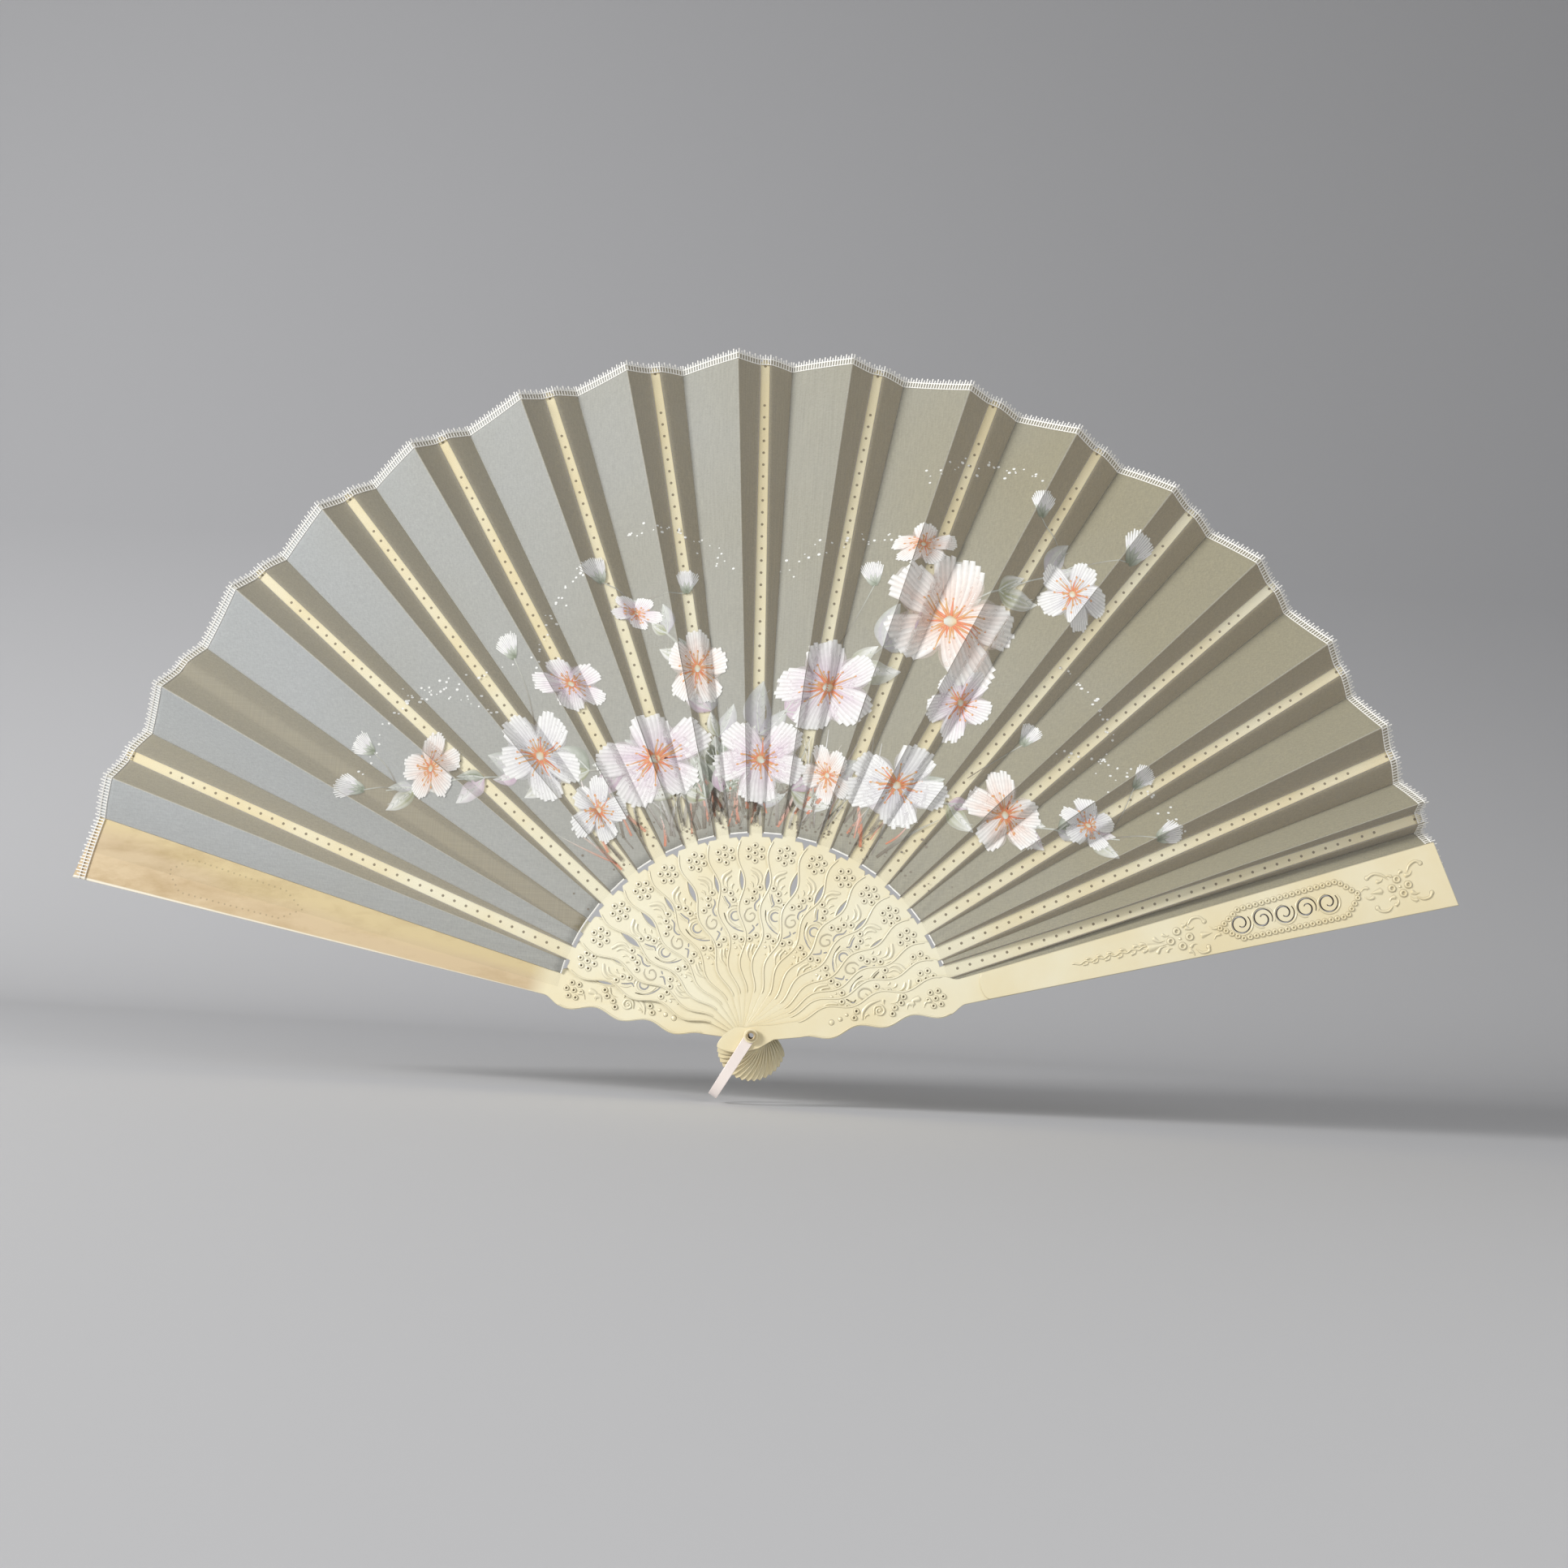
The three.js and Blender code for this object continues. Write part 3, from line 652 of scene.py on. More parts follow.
# the odd sticks, 1, carry a pierced scroll and the even ones, -1, a pressed spiral; a slit is (line, width,
# points), a band or a line is (line, half widths)
kinds = {
    1: {"slits": [([(69.6, 3.3), (67, 2.3), (64.9, 1.2), (63.4, 2.2)], 0.6, 18),
                  (arcLine(62, -7, 11.7, 93, 162, 8), 0.55, 26),
                  (arcLine(59, -0.7, 2.2, -25, 216, 9), 0.66, 26)],
        "bands": [([(53.2, -2.0), (54.6, 0.8), (57.4, 2.9), (60.8, 3.0), (62.8, 0.8), (62.7, -1.4)],
                   [0.3, 0.55, 0.6, 0.6, 0.5, 0.3]),
                  ([(64.8, 2.6), (67.2, 3.9), (70.0, 4.6)], [0.25, 0.5, 0.25])],
        "lines": [([(63.6, -3.2), (64.3, -0.8), (64.0, 1.0)], [0.25, 0.3, 0.2])]},
    -1: {"slits": [([(61.0, 1.4), (62.0, 0.5), (64.5, 0.5), (67.0, 2.5), (69.4, 2.6)], 0.6, 22),
                   ([(49.6, -2.4), (51.0, -0.9), (52.4, 0.2), (53.9, -0.7)], 0.6, 18),
                   ([(53.5, 1.2), (54.8, 2.2)], 0.5, 8)],
         "bands": [([(61.6, 2.6), (63.6, 2.0), (66.0, 3.6), (69.6, 4.2)], [0.25, 0.45, 0.5, 0.25])],
         "lines": [([(62.5, -1.2), (61.6, -3.5), (59.0, -4.8), (56.5, -4.0), (55.8, -1.9), (57.0, -0.2),
                     (58.9, 0.3), (60.0, -0.9), (59.2, -2.2)],
                    [0.25, 0.4, 0.45, 0.45, 0.45, 0.4, 0.4, 0.35, 0.25])]}}


def gorgeDots():
    return [*rosette(gorgeSet["rosette"], 0, gorgeSet["petals"]), *gorgeSet["chain"]]


def gorgeHoles(side):
    slits = [slit(line, width, count) * [1, side] for line, width, count in kinds[side]["slits"]]
    return [circleLoop(u, v * side, gorgeSet["dot"]) for u, v in gorgeDots()] + slits


def gorgeRelief(side):
    rise = gorgeSet["rise"]
    parts = []
    for u, v in gorgeDots():
        parts += ringedDot(u, v, gorgeSet["boss"], rise, gorgeSet["dot"], sunk=gorgeSet["sunk"])
    parts += [ridge(line, widths, rise * 1.08, count=16) for line, widths in gorgeSet["leaves"]]
    parts += [dome(u, v, radius, rise) for u, v, radius in gorgeSet["drops"]]
    parts += [ridge(line, widths, rise * 0.8, count=16) for line, widths in kinds[side]["bands"]]
    for line, widths in kinds[side]["lines"]:
        # the pressed lines are darkened along their tops: painted shade and grime of the pressed line
        points, faces, shadeAndGrime = ridge(line, widths, rise * 0.5, count=8 * len(line))
        parts.append((points, faces, np.maximum(shadeAndGrime, gorgeSet["lineShadeAndGrime"] * (points[:, 2] > 0.03))))
    return parts


# the dots along each rib are small low domes painted dark with painted shade and grime
ribDots = {"start": 106, "step": 6.4, "end": 326, "last": 345, "radius": 0.72, "rise": 0.03, "shadeAndGrime": 0.75}


def makeSticks():
    relief = {side: gorgeRelief(side) for side in kinds}
    along = np.r_[np.arange(ribDots["start"], ribDots["end"], ribDots["step"]), ribDots["last"]]
    pins = [dome(u, 0, ribDots["radius"], ribDots["rise"], sides=10, shadeAndGrime=ribDots["shadeAndGrime"]) for u in along]
    edge = gorgeEdge(stickSet["shoulder"] - 2, 0, 0)
    for i in range(1, stickSet["count"] + 1):
        side = -1 if i % 2 == 0 else 1
        angle, level = angles[i - 1], stickLevel(i)
        face, back = level - stickSet["thick"] / 2 + stickSet["sunk"], level + stickSet["thick"] / 2
        bore = circleLoop(0, 0, stickSet["bore"], 24)
        holes = [turned(hole, angle) for hole in [bore] + gorgeHoles(side)]
        parts = [plate(turned(stickOutline(i), angle), holes, face, back, stickSet["edge"])]
        parts += laid(relief[side], angle, face, side)
        parts += laid([] if i == stickSet["broken"] else pins, angle, face)
        parts += laid(edgeBeads(edge, lambda u: 0 * u, i / (stickSet["count"] + 1), angle), angle, face)
        varied = toneSet["varies"] * math.sin(toneSet["beat"] * i) ** 2
        tone = toneSet["plain"] - toneSet["paler"] + varied
        node = f"stick_{i:02d}"
        makePiece(f"{node}_carved", parts, cream, node, node, tone)


makeSticks()
print("sticks made")

# guards: a wider gorge moved outwards, and a widening blade with a raised face; within is how far inside the
# blade the raised plate ends
guardSet = {"thick": 1.5, "raise": 0.6, "shift": 3.5, "gorgeShift": 2.5, "shiftEnd": 25, "wider": 0.8,
            "waveShift": 3, "shoulder": 96, "foot": 105, "footHalf": 6.3, "tipHalf": 16.4, "start": 114,
            "slant": 1.5, "edge": 0.28, "within": 0.3, "scroll": 0.62, "dotShift": 3.9, "dotAcross": 1.6}
scrollSet = {"count": 5, "start": 245.3, "pitch": 11.1, "radius": 4.9, "eye": 1.3, "curl": 1.6, "from": -30,
             "to": 490, "steps": 34}


def bladeHalf(u):
    return ease(u, guardSet["foot"], stickSet["reach"], guardSet["footHalf"], guardSet["tipHalf"])


def guardCentre(u):
    rest = guardSet["shift"] - guardSet["gorgeShift"]
    return (guardSet["gorgeShift"] * smooth(u, 0, guardSet["shiftEnd"])
            + rest * smooth(u, guardSet["shoulder"] - waveSet["length"], guardSet["foot"]))


def guardHalf():
    # the wavy gorge, which runs smoothly into the foot of the blade
    half = gorgeEdge(guardSet["shoulder"] - guardSet["waveShift"], guardSet["waveShift"], guardSet["wider"])
    neck = np.linspace(half[-1, 0], guardSet["foot"], 9)[1:]
    fall = smooth(neck, half[-1, 0], guardSet["foot"])
    last = half[-1, 1]
    return np.vstack([half, np.stack([neck, last + (guardSet["footHalf"] - last) * fall], -1)])


def guardOutline(share, angle, side):
    half = guardHalf()
    slant, wide = guardSet["slant"], guardSet["tipHalf"]
    upper = np.vstack([half, [stickSet["reach"] + side * slant, wide]])
    lower = np.vstack([lowerEdge(half), [stickSet["reach"] - side * slant, -wide]])
    upper[:, 1] += side * guardCentre(upper[:, 0])
    lower[:, 1] += side * guardCentre(lower[:, 0])
    return np.vstack([lower, upper[::-1], tail(share, angle)])


def bladeOutline(side):
    half = bladeHalf(guardSet["start"])
    start = polar(half, np.linspace(90, 270, 17)) * [0.5, 1] + [guardSet["start"] + half * 0.5, 0]
    slant, wide = guardSet["slant"], guardSet["tipHalf"] + 0.02
    tip = [[stickSet["reach"] - side * slant, -wide], [stickSet["reach"] + side * slant, wide]]
    return np.vstack([start, tip]) + [0, side * guardSet["shift"]]


def scrollLine(k):
    # the radius falls from the open end to the eye while the angle runs on
    t = np.linspace(0, 1, scrollSet["steps"])
    turn = (1 if k % 2 == 0 else -1) * ease(t, 0, 1, scrollSet["from"], scrollSet["to"])
    radius = ease(t ** scrollSet["curl"], 0, 1, scrollSet["radius"], scrollSet["eye"])
    return np.array([scrollSet["start"] + k * scrollSet["pitch"], guardSet["shift"]]) + polar(radius, turn)


# relief of the guards, as (along, across) on the front one, where across runs towards the leaf
bladeSet = {
    "rise": 0.62, "axis": -3.6, "vine": (160, 197), "leafUp": [168, 173.5, 178.8, 185.3, 192, 195.5],
    "leafDown": [166, 171, 177, 183.3, 190, 196], "panelDots": 3.1, "bead": 1.45, "pinShadeAndGrime": 0.3,
    "panel": [(234.8, -3.3), (245.6, 3.6), (296.5, 5.3), (305.7, -3.5), (297, -12.3), (244.5, -10.7)],
    "commas": [((208, -4.5), (198.5, -4.5), 0.0, 1.5), ((207, -2.7), (202, -0.6), 0.2, 0.8),
        ((209.5, -0.6), (206.6, 0.2), 0.2, 0.6), ((207, -5.6), (202, -7.6), -0.2, 0.8),
        ((209.5, -7.2), (206.6, -8.2), -0.2, 0.6), ((222.5, 0.4), (218.6, 0.9), 0.2, 0.8),
        ((222.0, -8.0), (218.4, -8.6), -0.2, 0.8), ((219.6, 3.6), (217.0, 2.2), 0.2, 0.8),
        ((219.2, -13.2), (217.6, -10.4), -0.2, 0.8), ((230.6, -4.4), (225.2, -4.4), 0.0, 1.1),
        ((230.0, -1.0), (233.4, -2.8), -0.2, 0.7), ((230.6, -7.8), (234.0, -6.0), 0.2, 0.7),
        ((306.6, -2.4), (310.4, -1.4), 0.2, 0.7), ((307.8, -5.2), (312.0, -6.4), -0.2, 0.8),
        ((311.0, -4.3), (316.6, -4.3), 0.0, 1.2), ((318.8, 1.6), (315.6, 0.6), 0.2, 0.8),
        ((320.6, 2.0), (323.2, 1.4), 0.2, 0.6), ((327.0, 1.2), (328.6, 3.0), 0.2, 0.8),
        ((333.8, 2.0), (330.0, 0.4), 0.2, 0.9), ((319.0, -10.2), (322.2, -8.6), 0.2, 0.9),
        ((323.6, -10.2), (321.4, -12.6), 0.2, 0.8), ((334.6, -9.2), (331.0, -8.2), 0.2, 0.9),
        ((329.6, -9.8), (332.4, -12.6), -0.2, 0.8)],
    "volutes": [[(219.8, 2.0), (222.6, 4.6), (226.4, 4.2), (228.2, 1.8)],
        [(220.8, -10.2), (223.2, -12.6), (226.6, -12.6), (227.0, -10.6)],
        [(321.2, 0.2), (319.0, 3.0), (315.0, 4.6), (311.4, 3.4)],
        [(331.2, 1.8), (333.4, 4.8), (336.8, 6.0), (339.0, 4.4)],
        [(320.0, -12.6), (317.2, -14.4), (313.8, -13.8), (312.4, -11.8)],
        [(332.8, -10.8), (335.4, -12.8), (338.8, -12.6), (340.4, -10.8)]],
    "flowers": [((214.5, -3.6), [(213.8, 0.2), (209.8, -3.8), (219.3, -3.8), (214.8, -7.4)], 2.0),
        ((326.1, -4.3), [(325.4, -0.5), (322.0, -4.3), (330.3, -4.3), (326.8, -7.9)], 2.0)]}


def panelDots():
    # places at even steps along the sides of the panel
    corners = np.array(bladeSet["panel"], float)
    closed = np.vstack([corners, corners[:1]])
    run = np.r_[0, np.cumsum(np.linalg.norm(np.diff(closed, axis=0), axis=1))]
    steps = np.linspace(0, run[-1], int(run[-1] / bladeSet["panelDots"]) + 1)[:-1]
    return np.stack([np.interp(steps, run, closed[:, k]) for k in range(2)], -1)


def bladeRelief():
    rise = bladeSet["rise"]
    u = np.linspace(*bladeSet["vine"], 60)
    axis = bladeSet["axis"]
    stem = np.stack([u, axis + 0.5 * np.sin(2 * math.pi * u / 5.9)], -1)
    parts = [ridge(stem, [0.12] + [0.42] * 59, rise * 0.8, count=60)]
    for row, way in (("leafUp", 1), ("leafDown", -1)):
        for at in bladeSet[row]:
            grown = ease(at, 160, 197, 0.5, 0.95)
            head = (at - 0.6, axis + way * 1.9 * grown)
            parts.append(comma((at + 2.2, axis), head, -0.25 * way, grown, rise))
    for at, across in panelDots():
        parts += ringedDot(at, across, bladeSet["bead"], rise, 0.36, shadeAndGrime=bladeSet["pinShadeAndGrime"])
    parts += [comma(a, b, bend, width * 1.2, rise) for a, b, bend, width in bladeSet["commas"]]
    for points in bladeSet["volutes"]:
        parts += volute(points, 0.68, rise)
    for (u0, v0), petals, radius in bladeSet["flowers"]:
        parts.append(dome(u0, v0, 0.8, rise))
        for u1, v1 in petals:
            parts += ringedDot(u1, v1, radius, rise, 0.8, shadeAndGrime=bladeSet["pinShadeAndGrime"])
    for k in range(scrollSet["count"]):
        line = scrollLine(k) * [1, -1]
        outer = line + unit(line - line.mean(0))
        parts.append(ridge(outer[:20], [0.1] + [0.45] * 18 + [0.1], rise * 0.6, count=30))
    return parts


guardGorge = {
    "rise": 0.6, "rosette": (91.5, -3.6, 3.8),
    "dots": [(52.6, -0.6), (50.7, -3.4), (76.5, 0.8), (74.7, -1.8), (71.1, -3.3), (69.3, -5.9)],
    "beads": [(39.5, -3.0, 1.5), (44, -2.5, 1.2), (47.5, -1.2, 0.9)],
    "band": [(54.3, -5.2), (55.4, -1.8), (58.2, 0.6), (61.4, 1.7), (65.0, 1.9)],
    "spiral": (63.5, -3.0, 3.2),
    "commas": [((55.6, -5.0), (57.6, -3.4), 0.2, 0.6), ((66.4, -0.4), (66.6, 1.7), 0.1, 0.7),
        ((69.4, -0.9), (74.6, 2.2), -0.25, 0.7), ((76.6, -5.6), (80.4, -3.4), 0.35, 1.3),
        ((79.6, -5.6), (83.6, -1.8), 0.35, 1.3), ((84.8, -6.6), (88.8, -4.2), 0.25, 0.9)]}


def guardRelief():
    rise = guardGorge["rise"]
    parts = []
    for u, v in guardGorge["dots"]:
        parts += ringedDot(u, v, gorgeSet["boss"], rise, gorgeSet["dot"], sunk=gorgeSet["sunk"])
    parts += [dome(u, v, radius, rise) for u, v, radius in guardGorge["beads"]]
    parts.append(ridge(guardGorge["band"], [0.3, 0.8, 0.9, 0.8, 0.3], rise, count=18))
    u, v, radius = guardGorge["spiral"]
    t = np.linspace(0, 1, 9)
    curl = np.array([u, v]) + polar(radius * (1 - 0.72 * t), 200 - 560 * t)
    parts.append(ridge(curl, [0.3] + [0.6] * 7 + [0.4], rise, count=40))
    parts.append(dome(u, v, 0.9, rise))
    parts += [comma(a, b, bend, width, rise) for a, b, bend, width in guardGorge["commas"]]
    for u, v in rosette(*guardGorge["rosette"]):
        parts += ringedDot(u, v, 1.4, rise, 0.5)
    return parts


def makeGuard(name, body, angle, share, side, finish):
    inner = packHalf if side > 0 else -packHalf - guardSet["thick"]
    raised = packHalf + guardSet["within"] if side > 0 else inner - guardSet["raise"]
    back = raised + guardSet["thick"] + guardSet["raise"] - guardSet["within"]
    bore = circleLoop(0, 0, stickSet["bore"], 24)
    moved = guardSet["shift"] - guardSet["dotAcross"]
    dots = [circleLoop(u + guardSet["dotShift"], side * (moved - v), gorgeSet["dot"])
            for u, v in gorgeSet["chain"]]
    scrolls = [slit(scrollLine(k) * [1, side], guardSet["scroll"], 60) for k in range(scrollSet["count"])]
    scrolls = [turned(scroll, angle) for scroll in scrolls]
    holes = [turned(hole, angle) for hole in [bore] + dots] + (scrolls if side < 0 else [])
    outline, blade = turned(guardOutline(share, angle, side), angle), turned(bladeOutline(side), angle)
    parts = [plate(outline, holes, inner, inner + guardSet["thick"], guardSet["edge"]),
             plate(blade, scrolls, raised, back, guardSet["edge"])]
    parts += laid(edgeBeads(guardHalf(), lambda u: side * guardCentre(u), share, angle), angle, inner)
    if side < 0:
        parts += laid(bladeRelief(), angle, raised) + laid(guardRelief(), angle, inner)
    else:
        seen = [dome(u, v, 0.5, 0.03, sides=8, shadeAndGrime=bladeSet["pinShadeAndGrime"]) for u, v in panelDots()]
        parts += laid(guardRelief() + seen, angle, inner, side=-1)
        parts += laid(bladeRelief(), angle, back, side=-1, outwards=1)
    makePiece(f"{name}_carved", parts, finish, body, name)


makeGuard("rear_guard", "rear", stickSet["rear"], 0, 1, agedCream)
makeGuard("front_guard", "front", stickSet["front"], 1, -1, cream)
print("guards made")

# leaf: folds of gauze between near and far fold lines, on the same lines as the solids
leafSet = {"inner": 99.8, "outer": 349, "half": 2.33, "lastHalf": 1.1, "foldInner": 0.35, "foldOuter": 9,
           "margin": 0.4, "inset": 0.28, "thick": 0.25, "glued": 0.55, "strip": 0.425, "stripGap": 0.3,
           "rows": 44, "columns": 13, "ribColumns": 23, "curve": 1.15, "bow": 0.9, "wrinkle": 0.28,
           "cloth": 0.12, "creaseWide": 0.018, "creaseFrom": (100, 140), "noRib": 99, "lostRib": 20,
           "kept": 0.01, "closedOver": 0.325, "closedFree": 0.345, "closedFirst": -0.245}
stripLevel = packHalf - leafSet["strip"]


def lastFold():
    return 2 * stickSet["count"] + 1


def glued(k):
    # k is a panel's number from the rear, with -1 and 33 for the ends that are glued to the guards
    return k in (-1, lastFold())


def sheetLevel(i):
    return stickLevel(i) - stickSet["thick"] / 2 - stickSet["gap"] - leafSet["thick"] / 2


def ribHalf(r):
    return ease(r, stickSet["shoulder"], stickSet["reach"], stickSet["ribFoot"], stickSet["ribTip"])


def foldDepth(r):
    return ease(r, leafSet["inner"], leafSet["outer"], leafSet["foldInner"], leafSet["foldOuter"])


def halfAngle(i, r):
    half = leafSet["lastHalf"] if i == stickSet["count"] else leafSet["half"]
    return np.maximum(half, np.degrees((ribHalf(r) + leafSet["margin"] + leafSet["inset"]) / r))


def foldLine(k, r):
    # line k of the leaf, counted from the rear guard: its direction and its level
    if k in (0, lastFold()):
        way = 1 if k == 0 else -1
        over = np.degrees((guardSet["shift"] - bladeHalf(r)) / r)
        return stickSet["rear" if k == 0 else "front"] + way * over, 0 * r + way * stripLevel
    i = (k + 1) // 2
    way = 1 if k % 2 == 1 else -1
    return angles[i - 1] + way * halfAngle(i, r), sheetLevel(i) - way * foldDepth(r)


def stripEdges(way, r):
    # the two edges of the end that is glued to the rear guard, 1, or the front one, -1, from the left
    inner = np.degrees((guardSet["shift"] - bladeHalf(r) + leafSet["stripGap"]) / r)
    outer = np.degrees((guardSet["shift"] + bladeHalf(r) * (2 * leafSet["glued"] - 1)) / r)
    return (stickSet["rear" if way > 0 else "front"] + way * np.stack([outer, inner]))[::way]


def spot(r, angle, y):
    flat = polar(r, angle)
    return np.stack([flat[..., 0], y + 0 * r, flat[..., 1]], -1)


def panelPoint(k, t, r):
    # t runs from the left edge of panel k to its right one
    if glued(k):
        way = 1 if k < 0 else -1
        left, right = stripEdges(way, r)
        return spot(r, left + (right - left) * t, way * stripLevel)
    if k % 2 == 1:
        i = (k + 1) // 2
        wide = halfAngle(i, r)
        across = np.radians(wide) * r * (1 - 2 * t)
        flat, full = ribHalf(r) + leafSet["margin"], np.radians(wide) * r
        rise = np.clip((np.abs(across) - flat) / (full - flat), 0, 1) ** leafSet["curve"]
        level = sheetLevel(i) - np.sign(across) * foldDepth(r) * rise
        return spot(r, angles[i - 1] + wide * (1 - 2 * t), level)
    # a panel between two ribs bows outwards or inwards, and has small wrinkles near its lower edge
    left, right = spot(r, *foldLine(k, r)), spot(r, *foldLine(k + 1, r))
    grown = (r - leafSet["inner"]) / (leafSet["outer"] - leafSet["inner"])
    bow = leafSet["bow"] * grown * np.sin(2.2 + 0.8 * k)
    wrinkle = leafSet["wrinkle"] * np.exp(-6 * grown) * np.sin(9 * t + 0.21 * r + k)
    point = left + (right - left) * t[..., None]
    point[..., 1] -= np.sin(math.pi * t) * (bow + wrinkle)
    return point


def lifted(k, t, r, lift):
    # the panel's point moved off the cloth, towards the viewer, along the cloth's own normal
    step = 0.02
    across = panelPoint(k, t + step, r) - panelPoint(k, t - step, r)
    out = panelPoint(k, t, r + 1) - panelPoint(k, t, r - 1)
    normal = unit(np.cross(across, out))
    return panelPoint(k, t, r) - np.sign(normal[..., 1:2]) * normal * np.asarray(lift)[..., None]


def panelNames(k):
    # node, body and what the panel lies on
    if glued(k):
        end = "rear" if k < 0 else "front"
        return f"leaf_{end}", end, f"{end}_guard_carved"
    kind, i, body = ("d", (k + 1) // 2, "stick") if k % 2 == 1 else ("l", k // 2, "fold")
    return f"leaf_{kind}{i:02d}", f"{body}_{i:02d}", f"stick_{max(1, i):02d}_carved"


def flatten(piece, k):
    # works out where a panel on a rib would flatten against it, and one between ribs in its own plane, both
    # into the gap in front of their stick; the axis and anchor are not used, and the piece only gets its own
    # mesh
    if glued(k):
        return
    if k % 2 == 1:
        axis, anchor = (0, 1, 0), np.array([0, sheetLevel((k + 1) // 2) + leafSet["closedOver"], 0])
    else:
        inner, outer = np.array([leafSet["inner"]]), np.array([leafSet["outer"]])
        low, high = spot(inner, *foldLine(k, inner))[0], spot(outer, *foldLine(k, outer))[0]
        corner = spot(outer, *foldLine(k + 1, outer))[0]
        plane = unit(np.cross(high - low, corner - low))
        plane *= -np.sign(plane[1])
        axis, anchor = tuple(plane), low + plane * leafSet["closedFirst" if k == 0 else "closedFree"]
    tuple(anchor * mm)
    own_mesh(piece)


# gauze: a thin weave that is clear where it is glued to a rib
# the free gauze is painted lighter at the left and darker and warmer to the right: a painted fall-off of
# light
gauzeSet = {"freeLitLeft": (0.56, 0.58, 0.575), "freeShadedRight": (0.45, 0.41, 0.275),
            "overShadedLeft": (0.45, 0.405, 0.29), "overShadedRight": (0.47, 0.40, 0.26), "crease": (0.78, 0.76, 0.68),
            "shadow": (0.05, 0.05, 0.04), "open": 0.62, "glued": 0.03, "slub": 1500.0, "thread": 0.02,
            "clouds": 9.0, "across": (2.3, 0.6), "noRib": 50, "ribSlope": 0.00337, "past": 0.3}


def gauzeFinish():
    finish = Finish("gauze", Roughness=0.85, IOR=1.4, Sheen_Weight=0.15, Sheen_Roughness=0.4)
    warp = finish.noise(gauzeSet["slub"], detail=1, stretch=(1, 1, gauzeSet["thread"]))
    weft = finish.noise(gauzeSet["slub"], detail=1, stretch=(gauzeSet["thread"], 1, 1))
    cloudy = finish.noise(gauzeSet["clouds"], detail=3)
    weave = (warp + weft) * 0.5
    x = finish.add("ShaderNodeSeparateXYZ", inputs={0: finish.place()})
    # painted fall-off of light: the gauze darkens from the left to the right
    shadedRightwards = (x * gauzeSet["across"][0] + gauzeSet["across"][1] + (cloudy - 0.5) * 0.5).limited()
    free = finish.mix(shadedRightwards, gauzeSet["freeLitLeft"], gauzeSet["freeShadedRight"])
    # the panels over the ribs are painted darker and warmer than the free ones: painted shade of the folds
    over = finish.mix(shadedRightwards, gauzeSet["overShadedLeft"], gauzeSet["overShadedRight"])
    colour = finish.mix((finish.own("across").size() - gauzeSet["noRib"]).limited(), over, free)
    colour = finish.mix(finish.own("crease") * 0.6, colour, gauzeSet["crease"])
    darker = finish.mix(0.3, colour, gauzeSet["shadow"])
    finish.feed("Base Color", finish.mix(weave, darker, colour))
    half = stickSet["ribFoot"] - gauzeSet["ribSlope"] * (finish.own("outward") - stickSet["shoulder"])
    held = ((half + gauzeSet["past"] - finish.own("across").size()) * 2.5).limited()
    clear = gauzeSet["open"] + (weave - 0.5) * 0.35 + (cloudy - 0.5) * 0.12 + finish.own("crease") * 0.25
    finish.feed("Alpha", (clear * (1 - held) + gauzeSet["glued"] * held).limited())
    finish.bump(weave, 0.35, 0.0002)
    return finish.material


gauze = gauzeFinish()


def makePanel(k):
    node, body, support = panelNames(k)
    i, overRib = (k + 1) // 2, k % 2 == 1 and not glued(k)
    wide = leafSet["creaseWide"]
    t = np.linspace(0, 1, leafSet["ribColumns" if overRib else "columns"])
    t = np.r_[0, wide, t[1:-1], 1 - wide, 1]
    r = np.linspace(leafSet["inner"], leafSet["outer"], leafSet["rows"])
    rr, tt = np.meshgrid(r, t, indexing="ij")
    points = panelPoint(k, tt, rr)
    if overRib and i != stickSet["broken"]:
        across = np.radians(halfAngle(i, rr)) * rr * (1 - 2 * tt)
    else:
        beside = leafSet["lostRib"] if overRib else 0 if glued(k) else leafSet["noRib"]
        across = np.full(rr.shape, float(beside))
    crease = ((tt == 0) | (tt == 1)) * smooth(rr, *leafSet["creaseFrom"])
    values = {"across": across.ravel(), "outward": rr.ravel(), "crease": crease.ravel()}
    faces = gridFaces(len(r), len(t)).tolist()
    mesh = addMesh(f"{node}_gauze", points.reshape(-1, 3) * mm, faces, values)
    mesh.shade_smooth()
    mesh.materials.append(gauze)
    piece = addObject(f"{node}_gauze", mesh)
    thicken = piece.modifiers.new("cloth", "SOLIDIFY")
    thicken.thickness, thicken.offset = leafSet["cloth"] * mm, 0
    edge = np.linalg.norm(np.diff(points, axis=1), axis=-1).sum(1) * mm
    length, width = (leafSet["outer"] - leafSet["inner"]) * mm, float(max(edge.max(), 0.0101))
    area = float(np.sum((edge[1:] + edge[:-1]) * np.diff(r)) * mm / 2)
    dress(piece, body, node)
    flatten(piece, k)
    return piece, (width, length), max(area, 0.301 * width * length), support


panels = {k: makePanel(k) for k in range(-1, lastFold() + 1)}
print("gauze made")

